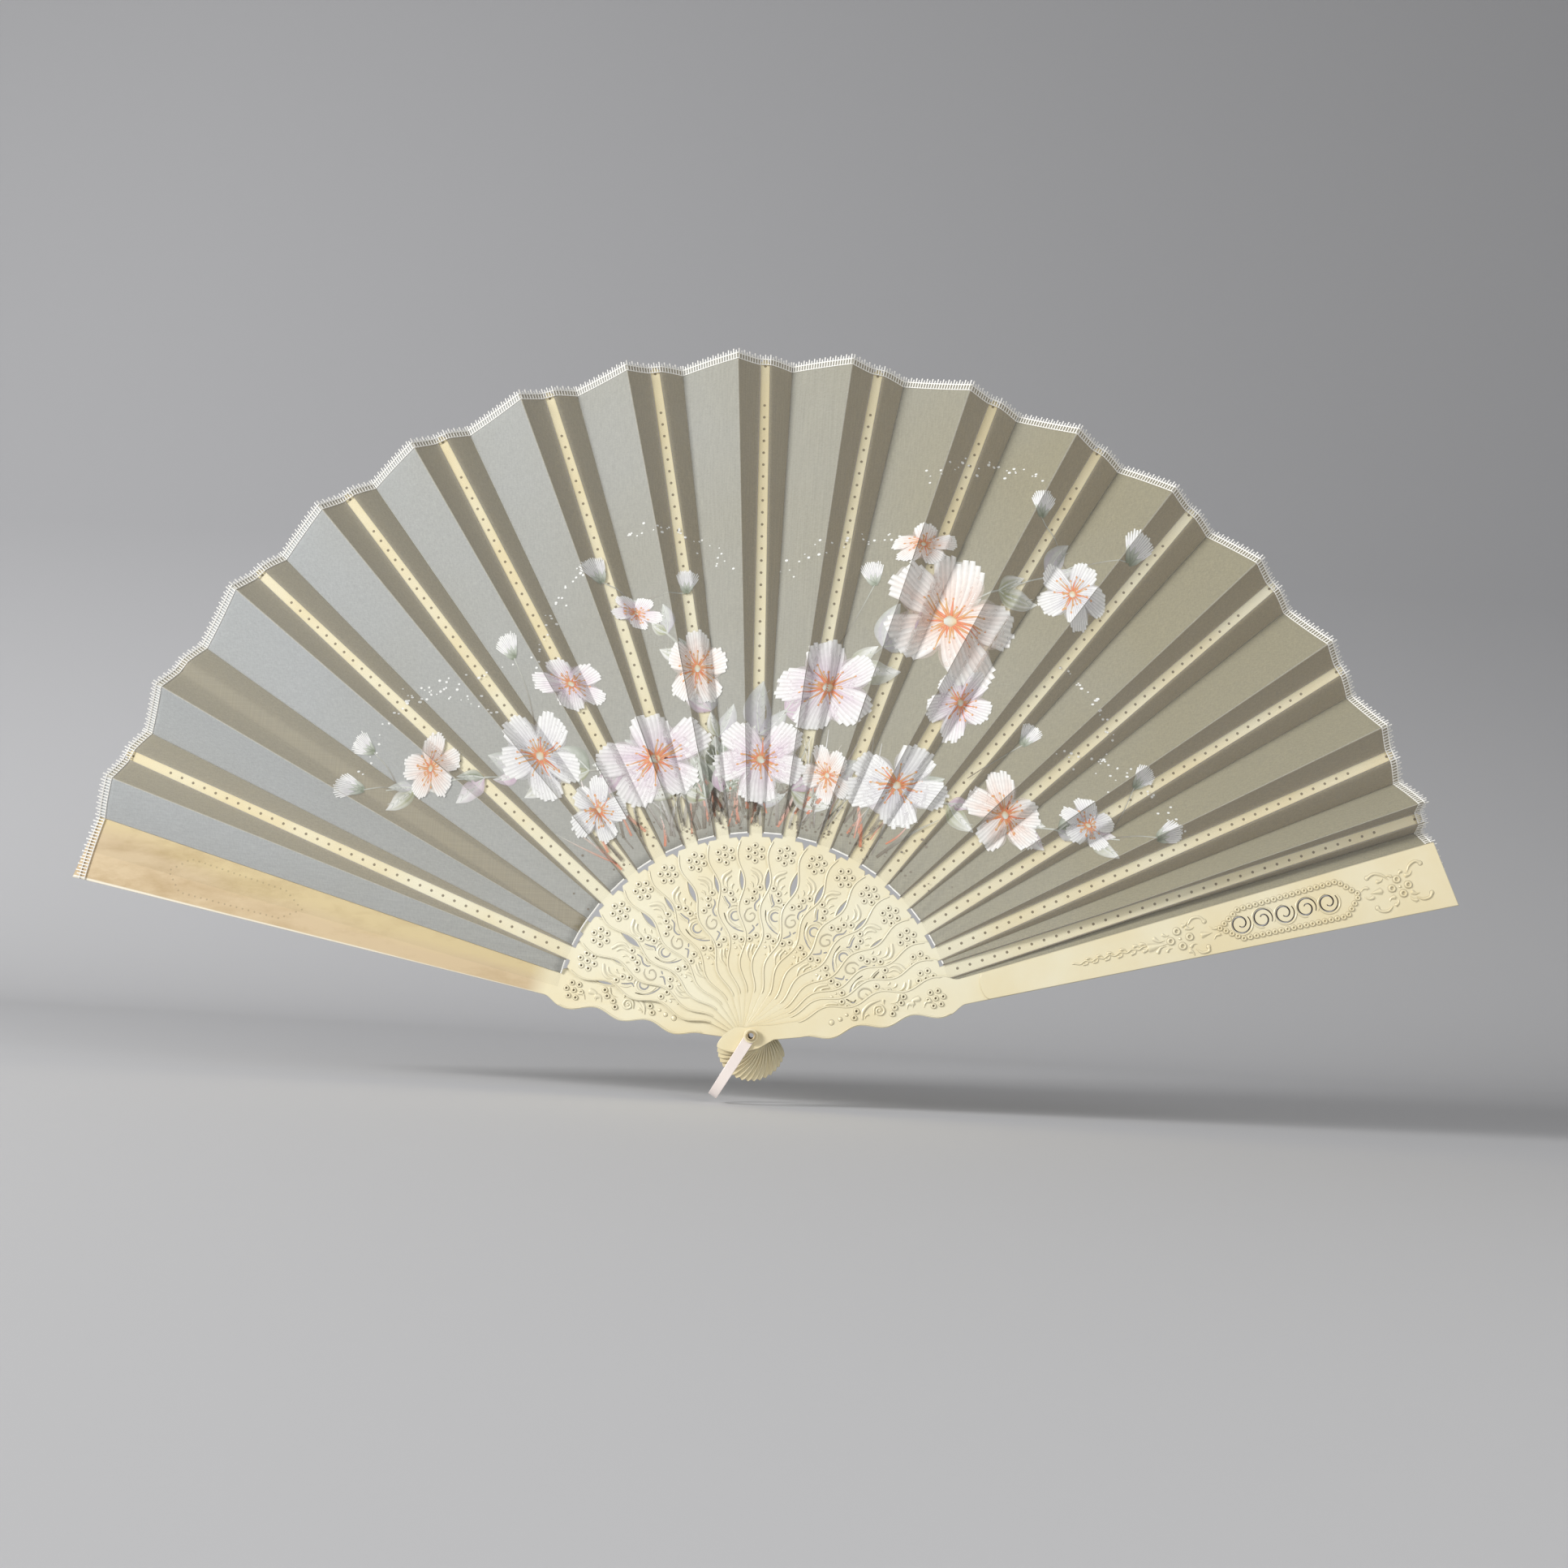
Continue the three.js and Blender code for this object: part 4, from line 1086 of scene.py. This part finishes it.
# painting: dog roses, buds, leaves and grass, drawn as brush marks in (x, z) and cut along the folds; layer
# is the step between marks that lie over one another, bends are the places where a panel on a rib bends, and
# usual is the size of flower that the widths of the stamens are given for
paintSet = {"white": (0.93, 0.93, 0.90), "shade": (0.60, 0.57, 0.62), "heart": (0.78, 0.20, 0.06),
            "blush": (0.80, 0.52, 0.40), "ochre": (0.68, 0.42, 0.13), "leaf": (0.20, 0.24, 0.15),
            "leafPale": (0.66, 0.69, 0.62), "stem": (0.17, 0.13, 0.08), "lilac": (0.66, 0.48, 0.60),
            "olive": (0.36, 0.38, 0.19), "dry": (0.78, 0.77, 0.74), "bristles": 420.0, "lift": 0.16,
            "layer": 0.008, "thinEdge": 0.35, "edge": 0.5, "scale": 100, "petals": 5, "marks": 9,
            "stamens": 26, "usual": 26, "bends": (0.14, 0.26, 0.36, 0.45, 0.55, 0.64, 0.74, 0.86)}
strokes = []


def stroke(line, halves, first, second, layer, cover=0.9, count=12, cols=5, streak=0.25, seed=0):
    # a ribbon about a line whose colour runs from first to second, with bristle streaks along it
    centre, half = spline(line, count), spline(np.asarray(halves, float)[:, None], count)
    w, t = np.linspace(-1, 1, cols), np.linspace(0, 1, count)[:, None]
    points = centre[:, None] + sideways(centre)[:, None] * (half * w[None])[..., None]
    bristle = np.random.default_rng(seed).uniform(-streak, streak, (1, cols))
    share = np.clip(t + bristle, 0, 1)[..., None]
    colour = np.array(first) * (1 - share) + np.array(second) * share
    veil = cover * (1 - paintSet["thinEdge"] * np.abs(w[None]) ** 3) * np.ones_like(t)
    flat, faces = points.reshape(-1, 2), gridFaces(count, cols)
    strokes.append((flat, faces, colour.reshape(-1, 3), veil.ravel(), layer))


def swirl(base, way, length, bend, steps=4):
    # a line that leaves base in one direction and turns by bend degrees on its way
    turn = way + bend * np.linspace(0, 1, steps)
    step = polar(length / (steps - 1), turn[:-1] + bend / 2 / steps)
    return np.vstack([base, base + np.cumsum(step, axis=0)])


def petal(base, way, length, width, ground, tip, layer, rng):
    # a thin wash under a fan of brush marks that end along a rounded, notched edge
    bend = rng.uniform(-12, 12)
    wash, wide = swirl(base, way, length * 0.95, bend, 5), np.array([0.2, 0.75, 1, 0.85, 0.3]) * width
    stroke(wash, wide, ground, tip, layer, 0.4, 12, 7, 0.2, int(rng.integers(1e6)))
    widths = np.array([0.5, 0.9, 1.2, 0.8]) * width * 0.13
    for n, share in enumerate(np.linspace(-1, 1, paintSet["marks"])):
        notched = 1.04 - 0.2 * share ** 2 - 0.08 * math.exp(-12 * share ** 2)
        reach = length * notched * rng.uniform(0.93, 1.03)
        root = base + polar(width * 0.35 * share, way + 90)
        mark = swirl(root, way + share * 20, reach, bend - share * 12)
        bright = rng.uniform(0.0, 0.6)
        first = np.array(ground) * (1 - bright) + np.array(tip) * bright
        stroke(mark, widths, first, tip, layer + 0.6 + 0.3 * n, 0.92, 9, 3, 0.1)


def blossom(centre, size, turn, lean, layer, seed):
    # broad petals foreshortened by lean, a red heart and a ring of stamens
    rng = np.random.default_rng(seed)
    centre = np.array(centre, float)
    start = len(strokes)
    ground = paintSet[("blush", "lilac", "shade")[seed // 10 % 3]]
    ochre, heart = paintSet["ochre"], paintSet["heart"]
    for k in rng.permutation(paintSet["petals"]):
        way = turn + k * 360 / paintSet["petals"] + rng.uniform(-9, 9)
        base, length = centre + polar(size * 0.1, way), size * rng.uniform(0.82, 1.0)
        petal(base, way, length, size * 0.38, ground, paintSet["white"], layer + k * 3, rng)
    thin = np.array([0.7, 0.6, 0.4, 0.12]) * size / paintSet["usual"]
    for k in range(paintSet["stamens"]):
        way = k * 360 / paintSet["stamens"] + rng.uniform(-9, 9)
        line = swirl(centre, way, size * rng.uniform(0.16, 0.52), rng.uniform(-30, 30))
        above = layer + 15 + 0.2 * (k % 5)
        stroke(line, thin, heart, ochre if k % 3 else heart, above, 0.95, 8, 3, 0.2, seed + k)
        stroke(swirl(line[-1], way, 1.4, 0, 3), [0.35, 0.6, 0.25], ochre, heart, above + 1, 0.95, 4, 3)
    middle = swirl(centre - polar(size * 0.09, turn), turn, size * 0.18, 0, 3)
    broad = [0.04 * size, 0.1 * size, 0.04 * size]
    stroke(middle, broad, paintSet["leafPale"], ochre, layer + 17, 0.95, 8, 5)
    way = polar(1, lean[0])
    for n in range(start, len(strokes)):
        points, *rest = strokes[n]
        strokes[n] = (points - np.outer((points - centre) @ way, way) * (1 - lean[1]), *rest)


def bud(base, way, size, layer, seed):
    # three small petals and four green points round their foot
    rng = np.random.default_rng(seed)
    shade, white, leaf, pale = (paintSet[name] for name in ("shade", "white", "leaf", "leafPale"))
    for n, bend in enumerate((-24, 24, 0)):
        petal(base, way + bend * 0.6, size, size * 0.2, shade, white, layer + 3 * n, rng)
    widths = np.array([0.1, 0.09, 0.06, 0.01]) * size
    for bend in (-50, -15, 15, 50):
        line = swirl(base, way + bend, size * 0.5, -bend * 0.6)
        stroke(line, widths, leaf, pale, layer + 10 + bend / 100, 0.9, 8, 3, 0.1, seed)


def leaflet(base, way, size, bend, layer, seed):
    # a leaf with a pale rib and three pairs of veins
    line = swirl(base, way, size, bend)
    ground = paintSet[("lilac", "leaf", "olive", "shade")[seed % 4]]
    pale, white = paintSet["leafPale"], paintSet["white"]
    widths = np.array([0.04, 0.25, 0.19, 0.01]) * size
    stroke(line, widths, ground, white if seed % 2 == 0 else pale, layer, 0.75, 14, 9, 0.4, seed)
    stroke(line, [0.45, 0.4, 0.25, 0.1], pale, white, layer + 1, 0.8, 12, 3, 0.1, seed)
    for share in (0.3, 0.5, 0.7):
        root = line[0] + (line[-1] - line[0]) * share
        for side in (-1, 1):
            vein = swirl(root, way + bend * share + side * 38, size * 0.2, -side * 20)
            stroke(vein, [0.25, 0.2, 0.15, 0.05], pale, white, layer + 1, 0.6, 6, 3)


# each spray: its stem in (direction, radius), its leaves, its flowers as (place, size, lean) and its buds
# as (place, direction, size)
sprays = [
    {"stem": [(101, 112), (92, 150), (78, 190), (68, 236), (58, 292)], "leaves": 11, "leafSize": 30,
     "flowers": [((67.5, 231), 36, (60, 0.86)), ((81, 178), 29, (120, 0.8)), ((57, 274), 21, (20, 0.75)),
                 ((74, 262), 17, (100, 0.6)), ((61, 196), 20, (150, 0.8))],
     "buds": [((54.5, 304), 60, 17), ((64, 300), 84, 13), ((78, 236), 100, 13)]},
    {"stem": [(101, 112), (113, 138), (128, 160), (141, 190), (150, 222)], "leaves": 10, "leafSize": 25,
     "flowers": [((113, 146), 29, (100, 0.85)), ((131, 176), 26, (40, 0.8)), ((144, 210), 18, (160, 0.75)),
                 ((121, 199), 20, (70, 0.65)), ((128, 136), 18, (10, 0.8))],
     "buds": [((151.5, 232), 172, 14), ((147, 240), 150, 12), ((126, 226), 118, 13)]},
    {"stem": [(99, 113), (78, 128), (56, 146), (40, 172), (31, 206)], "leaves": 10, "leafSize": 23,
     "flowers": [((63, 143), 26, (80, 0.82)), ((44, 166), 22, (30, 0.8)), ((91.5, 137), 25, (90, 0.85)),
                 ((35, 196), 16, (60, 0.7)), ((77, 134), 17, (20, 0.7))],
     "buds": [((29.0, 222), 24, 13), ((36, 226), 52, 12), ((50, 198), 60, 12)]},
    {"stem": [(101, 112), (100, 150), (103, 192), (110, 232)], "leaves": 8, "leafSize": 21,
     "flowers": [((102, 186), 21, (10, 0.8)), ((109, 222), 14, (80, 0.6))],
     "buds": [((112, 242), 120, 14), ((102, 226), 92, 12)]}]


def paintSprays():
    wood, pale = paintSet["stem"], paintSet["leafPale"]
    for n, spray in enumerate(sprays):
        stem = np.array([polar(r, a) for a, r in spray["stem"]])
        stroke(stem, [0.9, 0.8, 0.65, 0.5, 0.3][:len(stem)], wood, pale, 0, 0.85, 60, 3, 0.2, n)
        fine = spline(stem, spray["leaves"] + 2)
        way = np.degrees(np.arctan2(*np.gradient(fine, axis=0).T[::-1]))
        for k in range(1, spray["leaves"] + 1):
            side = 1 if (k + n) % 2 else -1
            size = spray["leafSize"] * (1 - 0.3 * k / spray["leaves"])
            leaflet(fine[k], way[k] + side * 52, size, -side * 34, 2, 40 * n + k)
            leaflet(fine[k], way[k] - side * 20, size * 0.7, side * 30, 3, 81 * n + k)
        for k, ((a, r), size, lean) in enumerate(spray["flowers"]):
            blossom(polar(r, a), size, 31 * (n + k), lean, 8 + 18 * ((n + k) % 2), 100 * n + 10 * k)
        for k, ((a, r), direction, size) in enumerate(spray["buds"]):
            place = polar(r, a)
            bud(place, direction, size, 5, 300 + 10 * n + k)
            joint = stem[-1] + (stem[-2] - stem[-1]) * 0.12 if k < 2 else polar(r * 0.84, a + 3)
            stroke([joint, (joint + place) / 2 + 1.2, place], [0.3, 0.3, 0.3], wood, pale, 1, 0.8, 12, 3)


def paintGrass():
    # long thin marks that spring from the lower edge, dark at the root and pale at the tip
    rng = np.random.default_rng(11)
    for k in range(150):
        a = np.clip(rng.normal(94, 18), 58, 132)
        way = a + rng.uniform(-30, 30)
        line = swirl(polar(rng.uniform(103, 118), a), way, rng.uniform(14, 46), rng.uniform(-40, 40))
        dark = paintSet["heart"] if k % 5 == 0 else paintSet["stem"]
        light = paintSet["leafPale"] if k % 2 else paintSet["white"]
        widths = np.array([0.5, 0.6, 0.4, 0.1]) * rng.uniform(0.6, 1.7)
        stroke(line, widths, dark, light, 1.5, 0.7, 12, 3, 0.2, k)


# arcs of white specks, each from (direction, radius) to (direction, radius)
speckArcs = [(152, 238, 128, 226), (124, 214, 112, 252), (90, 232, 74, 262), (52, 240, 38, 214),
             (46, 206, 28, 232), (108, 262, 96, 236), (76, 296, 66, 318), (140, 246, 132, 206)]


def speck(point, size, colour):
    line = [point, point + [size, 0], point + [2 * size, 0]]
    stroke(line, [size * 0.5, size, size * 0.5], colour, colour, 1, 0.9, 4, 3, 0)


def paintSpecks():
    # fine white specks strung on loose arcs beyond the flowers, and dark ones near the lower edge
    rng = np.random.default_rng(5)
    for a0, r0, a1, r1 in speckArcs:
        t = np.linspace(0, 1, 30)
        line = polar(r0 + (r1 - r0) * t + 9 * np.sin(math.pi * t), a0 + (a1 - a0) * t)
        for point in line + rng.normal(0, 2.2, line.shape):
            speck(point, rng.uniform(0.35, 0.8), paintSet["white"])
    for a, r in zip(rng.normal(88, 24, 170), rng.uniform(102, 128, 170)):
        if 36 < a < 150:
            speck(polar(r, a), rng.uniform(0.3, 0.75), paintSet["stem"])


paintGrass()
paintSprays()
paintSpecks()
print("strokes drawn", len(strokes))


# lace on the rim and a fine cord along the lower edge
laceSet = {"lines": [(345.7, 0.26), (348.5, 0.38)], "lower": (100.1, 0.42), "cordLift": 0.1, "steps": 9,
           "sides": 5, "tooth": 1.55, "toothFrom": 345.4, "toothTo": 351.0, "toothHalf": 0.27,
           "toothShort": 0.9, "thick": 0.28, "back": -0.2, "off": 0.06, "flatter": 0.6, "pastStrip": -0.82,
           "hollow": (0.86, 0.84, 0.78), "high": (0.95, 0.94, 0.90), "fibres": 2600.0}


def paintFinish():
    finish = Finish("paint", Roughness=0.7, IOR=1.45)
    bristles = finish.noise(paintSet["bristles"], detail=3)
    finish.feed("Base Color", finish.mix(bristles * 0.25, finish.own("tint", 0), paintSet["dry"]))
    finish.feed("Alpha", (finish.own("cover") * (0.86 + 0.4 * bristles)).limited())
    finish.bump(bristles, 0.3, 0.0002)
    return finish.material


def threadFinish():
    finish = Finish("laceThread", Roughness=0.8, Sheen_Weight=0.2)
    fibres = finish.noise(laceSet["fibres"], detail=2)
    finish.feed("Base Color", finish.mix(fibres, laceSet["hollow"], laceSet["high"]))
    finish.bump(fibres, 0.5, 0.0002)
    return finish.material


paint, thread = paintFinish(), threadFinish()


def strokesInFolds():
    # every point as (fold coordinate, radius, layer): the coordinate counts the folds and the share of each
    points, tint, cover = (np.concatenate([mark[n] for mark in strokes]) for n in (0, 2, 3))
    sizes = [len(mark[0]) for mark in strokes]
    faces = np.concatenate([mark[1] + start for mark, start in zip(strokes, np.cumsum([0] + sizes))])
    layer = np.repeat([float(mark[4]) for mark in strokes], sizes)
    radius = np.linalg.norm(points, axis=1)
    angle = np.degrees(np.arctan2(points[:, 1], points[:, 0]))
    lines = np.stack([foldLine(k, radius)[0] + 0 * radius for k in range(lastFold() + 1)])
    k = np.clip((lines > angle).sum(0) - 1, 0, lastFold() - 1)
    here = np.arange(len(points))
    share = (lines[k, here] - angle) / (lines[k, here] - lines[k + 1, here])
    return k + share, radius, layer, tint, cover, faces


folded = strokesInFolds()


def paintOn(k):
    # the strokes that touch panel k, cut at both its folds and where a panel on a rib bends
    fold, radius, layer, tint, cover, faces = folded
    corner, scale = fold[faces], paintSet["scale"]
    touching = (corner.max(1) > k) & (corner.min(1) < k + 1)
    faces = faces[touching & (radius[faces].min(1) > leafSet["inner"] + paintSet["edge"])]
    if not len(faces):
        return None
    used, index = np.unique(faces, return_inverse=True)
    values = {"tint": np.column_stack([tint[used], np.ones(len(used))]), "cover": cover[used]}
    flat = np.stack([fold[used], radius[used] / scale, layer[used] / scale], -1)
    mesh = addMesh("strokes", flat, index.reshape(-1, 4).tolist(), values)
    cuts = [(0, {"clear_inner": True}), (1, {"clear_outer": True})]
    cuts += [(share, {}) for share in paintSet["bends"]] if k % 2 == 1 else []
    cut = bmesh.new()
    cut.from_mesh(mesh)
    for share, keep in cuts:
        everything = cut.verts[:] + cut.edges[:] + cut.faces[:]
        bmesh.ops.bisect_plane(cut, geom=everything, dist=1e-6, plane_co=(k + share, 0, 0),
                               plane_no=(1, 0, 0), **keep)
    cut.to_mesh(mesh)
    cut.free()
    if not len(mesh.polygons):
        return None
    flat = readOut(mesh.vertices, "co", 3)
    lift = paintSet["lift"] + paintSet["layer"] * flat[:, 2] * scale
    placed = lifted(k, np.clip(flat[:, 0] - k, 0, 1), flat[:, 1] * scale, lift)
    colours = readOut(mesh.attributes["tint"].data, "color", 4)
    veil = readOut(mesh.attributes["cover"].data, "value", 1)[:, 0]
    return placed, [tuple(p.vertices)[::-1] for p in mesh.polygons], colours, veil


def cordOn(k, radius, thick):
    # a tube along the panel at one radius
    sides = laceSet["sides"]
    start = laceSet["pastStrip"] if k < 0 and radius > leafSet["inner"] * 2 else 0
    t = np.linspace(start, 1, laceSet["steps"])
    if glued(k):
        thick = laceSet["lines"][0][1]
    lift = 0.0 if glued(k) else laceSet["cordLift"]
    centre = lifted(k, t, np.full(len(t), float(radius)), np.full(len(t), lift))
    along = unit(np.gradient(centre, axis=0))
    up = unit(np.cross(along, [0, 1, 0]))
    side = np.cross(along, up)
    turn = np.arange(sides)[None, :, None] * 2 * math.pi / sides
    spokes = up[:, None] * np.cos(turn) + side[:, None] * np.sin(turn)
    points = (centre[:, None] + thick * spokes).reshape(-1, 3)
    ends = [list(range(sides))[::-1], list(range(len(points) - sides, len(points)))]
    return points, gridFaces(len(t), sides, colsClosed=True).tolist() + ends


def teethOn(k):
    # short threads square to the rim, a box each, every second one longer
    outer = np.array([leafSet["outer"]])
    width = np.linalg.norm(panelPoint(k, np.array([1.0]), outer) - panelPoint(k, np.array([0.0]), outer))
    first = laceSet["pastStrip"] if k < 0 else 0
    count = max(2, int(width * (1 - first) / laceSet["tooth"]))
    at = first + (1 - first) * (np.arange(count) + 0.5) / count
    t = at[:, None] + laceSet["toothHalf"] / width * np.array([-1, 1, 1, -1, -1, 1, 1, -1])[None]
    reach = laceSet["toothTo"] - laceSet["toothShort"] * (np.arange(count) % 2)
    r = np.where(np.array([0, 0, 1, 1, 0, 0, 1, 1])[None], reach[:, None], laceSet["toothFrom"])
    lift = np.repeat([1, laceSet["back"]], 4)[None] * laceSet["thick"] + laceSet["off"] + 0 * t
    points = lifted(k, t, r, lift * (laceSet["flatter"] if glued(k) else 1)).reshape(-1, 3)
    box = np.array([[0, 1, 2, 3], [7, 6, 5, 4], [0, 4, 5, 1], [1, 5, 6, 2], [2, 6, 7, 3], [3, 7, 4, 0]])
    return points, (np.arange(count)[:, None, None] * 8 + box[None]).reshape(-1, 4).tolist()


def makeTrim(k):
    # one piece for the paint, the lace and the edging of a panel
    node, body = panelNames(k)[:2]
    onRib = k % 2 == 1 and (k + 1) // 2 != stickSet["broken"]
    cords = laceSet["lines"] + ([] if onRib else [laceSet["lower"]])
    shapes = [cordOn(k, r, thick) for r, thick in cords] + [teethOn(k)]
    count, threads = (sum(len(shape[n]) for shape in shapes) for n in (0, 1))
    tint, cover = np.ones((count, 4)), np.ones(count)
    painted = None if glued(k) else paintOn(k)
    if painted:
        shapes.append(painted[:2])
        tint, cover = np.concatenate([tint, painted[2]]), np.concatenate([cover, painted[3]])
    points, faces = joined(shapes)
    mesh = addMesh(f"{node}_trim", points * mm, faces, {"tint": tint, "cover": cover})
    for material in (thread, paint):
        mesh.materials.append(material)
    mesh.polygons.foreach_set("material_index", (np.arange(len(faces)) >= threads).astype(np.int32))
    mesh.shade_smooth()
    mesh.set_sharp_from_angle(angle=sharpAngle)
    piece = addObject(f"{node}_trim", mesh)
    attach(piece, body)
    flatten(piece, k)
    return piece


for k, (piece, flat, area, support) in panels.items():
    trim = makeTrim(k)
print("lace and paint made")

# rivet, washers and bail
turnedSet = {"bore": 1.4, "tube": 1.9, "rim": 2.5, "rimThick": 0.35, "rimRound": 0.175, "rimIn": 0.17,
             "lip": 0.12, "washer": 3.4, "washerBore": 2.1, "washerThick": 1.0, "outerRound": 0.3,
             "innerRound": 0.2, "bailThick": 0.8, "gap": 0.3, "sides": 48}
brassSet = {"bright": (0.72, 0.60, 0.38), "stained": (0.45, 0.34, 0.19), "stains": 900.0}
bailSet = {"pale": (0.93, 0.84, 0.78), "rosy": (0.86, 0.76, 0.72), "bands": 140.0, "edge": 0.16,
           "same": 1e-6, "flat": 1, "sharp": 35, "bevelled": 45}


def lathe(profile):
    # a closed profile of (radius, level) carried round the Y axis; where the volume between its faces is
    # negative, they are turned round
    sides, n = turnedSet["sides"], len(profile)
    turn = np.arange(sides)[:, None] * 2 * math.pi / sides
    level = np.broadcast_to(profile[:, 1], (sides, n))
    points = np.stack([profile[None, :, 0] * np.cos(turn), level, profile[None, :, 0] * np.sin(turn)], -1)
    points = points.reshape(-1, 3)
    faces = gridFaces(sides, n, True, True)
    a, b, c, d = (points[faces[:, k]] for k in range(4))
    volume = np.sum(a * np.cross(b, c)) + np.sum(a * np.cross(c, d))
    return points, (faces if volume > 0 else faces[:, ::-1]).tolist(), np.zeros(len(points))


def brassFinish():
    finish = Finish("oldBrass", Metallic=0.9)
    stain = finish.noise(brassSet["stains"], detail=4)
    finish.feed("Base Color", finish.mix(stain, brassSet["bright"], brassSet["stained"]))
    finish.feed("Roughness", 0.3 + 0.35 * stain)
    return finish.material


def pearlFinish():
    finish = Finish("pearlCelluloid", IOR=1.5, Coat_Weight=0.3, Coat_Roughness=0.1)
    bands = finish.noise(bailSet["bands"], detail=3, stretch=(1, 1, 0.3))
    finish.feed("Base Color", finish.mix(bands, bailSet["pale"], bailSet["rosy"]))
    finish.feed("Roughness", 0.22 + 0.18 * bands)
    finish.bump(bands, 0.15, 0.0004)
    return finish.material


def makeTurned():
    gap, bore, lip = turnedSet["gap"], turnedSet["bore"], turnedSet["lip"]
    washer, washerBore, thick = turnedSet["washer"], turnedSet["washerBore"], turnedSet["washerThick"]
    washerFrom = packHalf + guardSet["thick"] + gap + turnedSet["bailThick"] + gap
    washerTo = washerFrom + thick
    under = washerTo + gap
    end = under + turnedSet["rimThick"]
    rim = np.array([turnedSet["rim"] - turnedSet["rimIn"], under + turnedSet["rimRound"]])
    rim = rim + polar(turnedSet["rimRound"], np.linspace(-90, 90, 9))
    top = np.vstack([[[turnedSet["tube"], under]], rim, [[bore + lip, end], [bore, end - lip]]])
    tube = lathe(np.vstack([top, (top * [1, -1])[::-1]]))
    makePiece("rivet_tube", [tube], brassFinish(), "rear", "rivet")
    small, large = turnedSet["innerRound"], turnedSet["outerRound"]
    outer = np.array([washer - large, washerTo - large]) + polar(large, np.linspace(0, 90, 6))
    inner = np.array([washerBore + small, washerTo - small]) + polar(small, np.linspace(90, 180, 5))
    profile = np.vstack([[[washer, washerFrom]], outer, inner, [[washerBore, washerFrom]]])
    for name, way in (("washer_rear", 1), ("washer_front", -1)):
        makePiece(f"{name}_ring", [lathe(profile * [1, way])], cream, "rear", name, tone=0)


def makeBail():
    # the solid's own mesh, with its flat triangles merged and its edges bevelled
    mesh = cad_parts["bail"].data.copy()
    mesh.name = "bail_strip"
    merged = bmesh.new()
    merged.from_mesh(mesh)
    bmesh.ops.remove_doubles(merged, verts=merged.verts[:], dist=bailSet["same"])
    bmesh.ops.dissolve_limit(merged, angle_limit=math.radians(bailSet["flat"]), verts=merged.verts[:],
                             edges=merged.edges[:])
    merged.to_mesh(mesh)
    merged.free()
    mesh.materials.clear()
    mesh.materials.append(pearlFinish())
    mesh.shade_smooth()
    mesh.set_sharp_from_angle(angle=math.radians(bailSet["sharp"]))
    piece = addObject("bail_strip", mesh)
    bevel = piece.modifiers.new("edges", "BEVEL")
    bevel.width, bevel.segments, bevel.limit_method = bailSet["edge"] * mm, 2, "ANGLE"
    bevel.angle_limit = math.radians(bailSet["bevelled"])
    bevel.use_clamp_overlap = False
    dress(piece, "bail", "bail")


makeTurned()
makeBail()
print("rivet, washers and bail made")
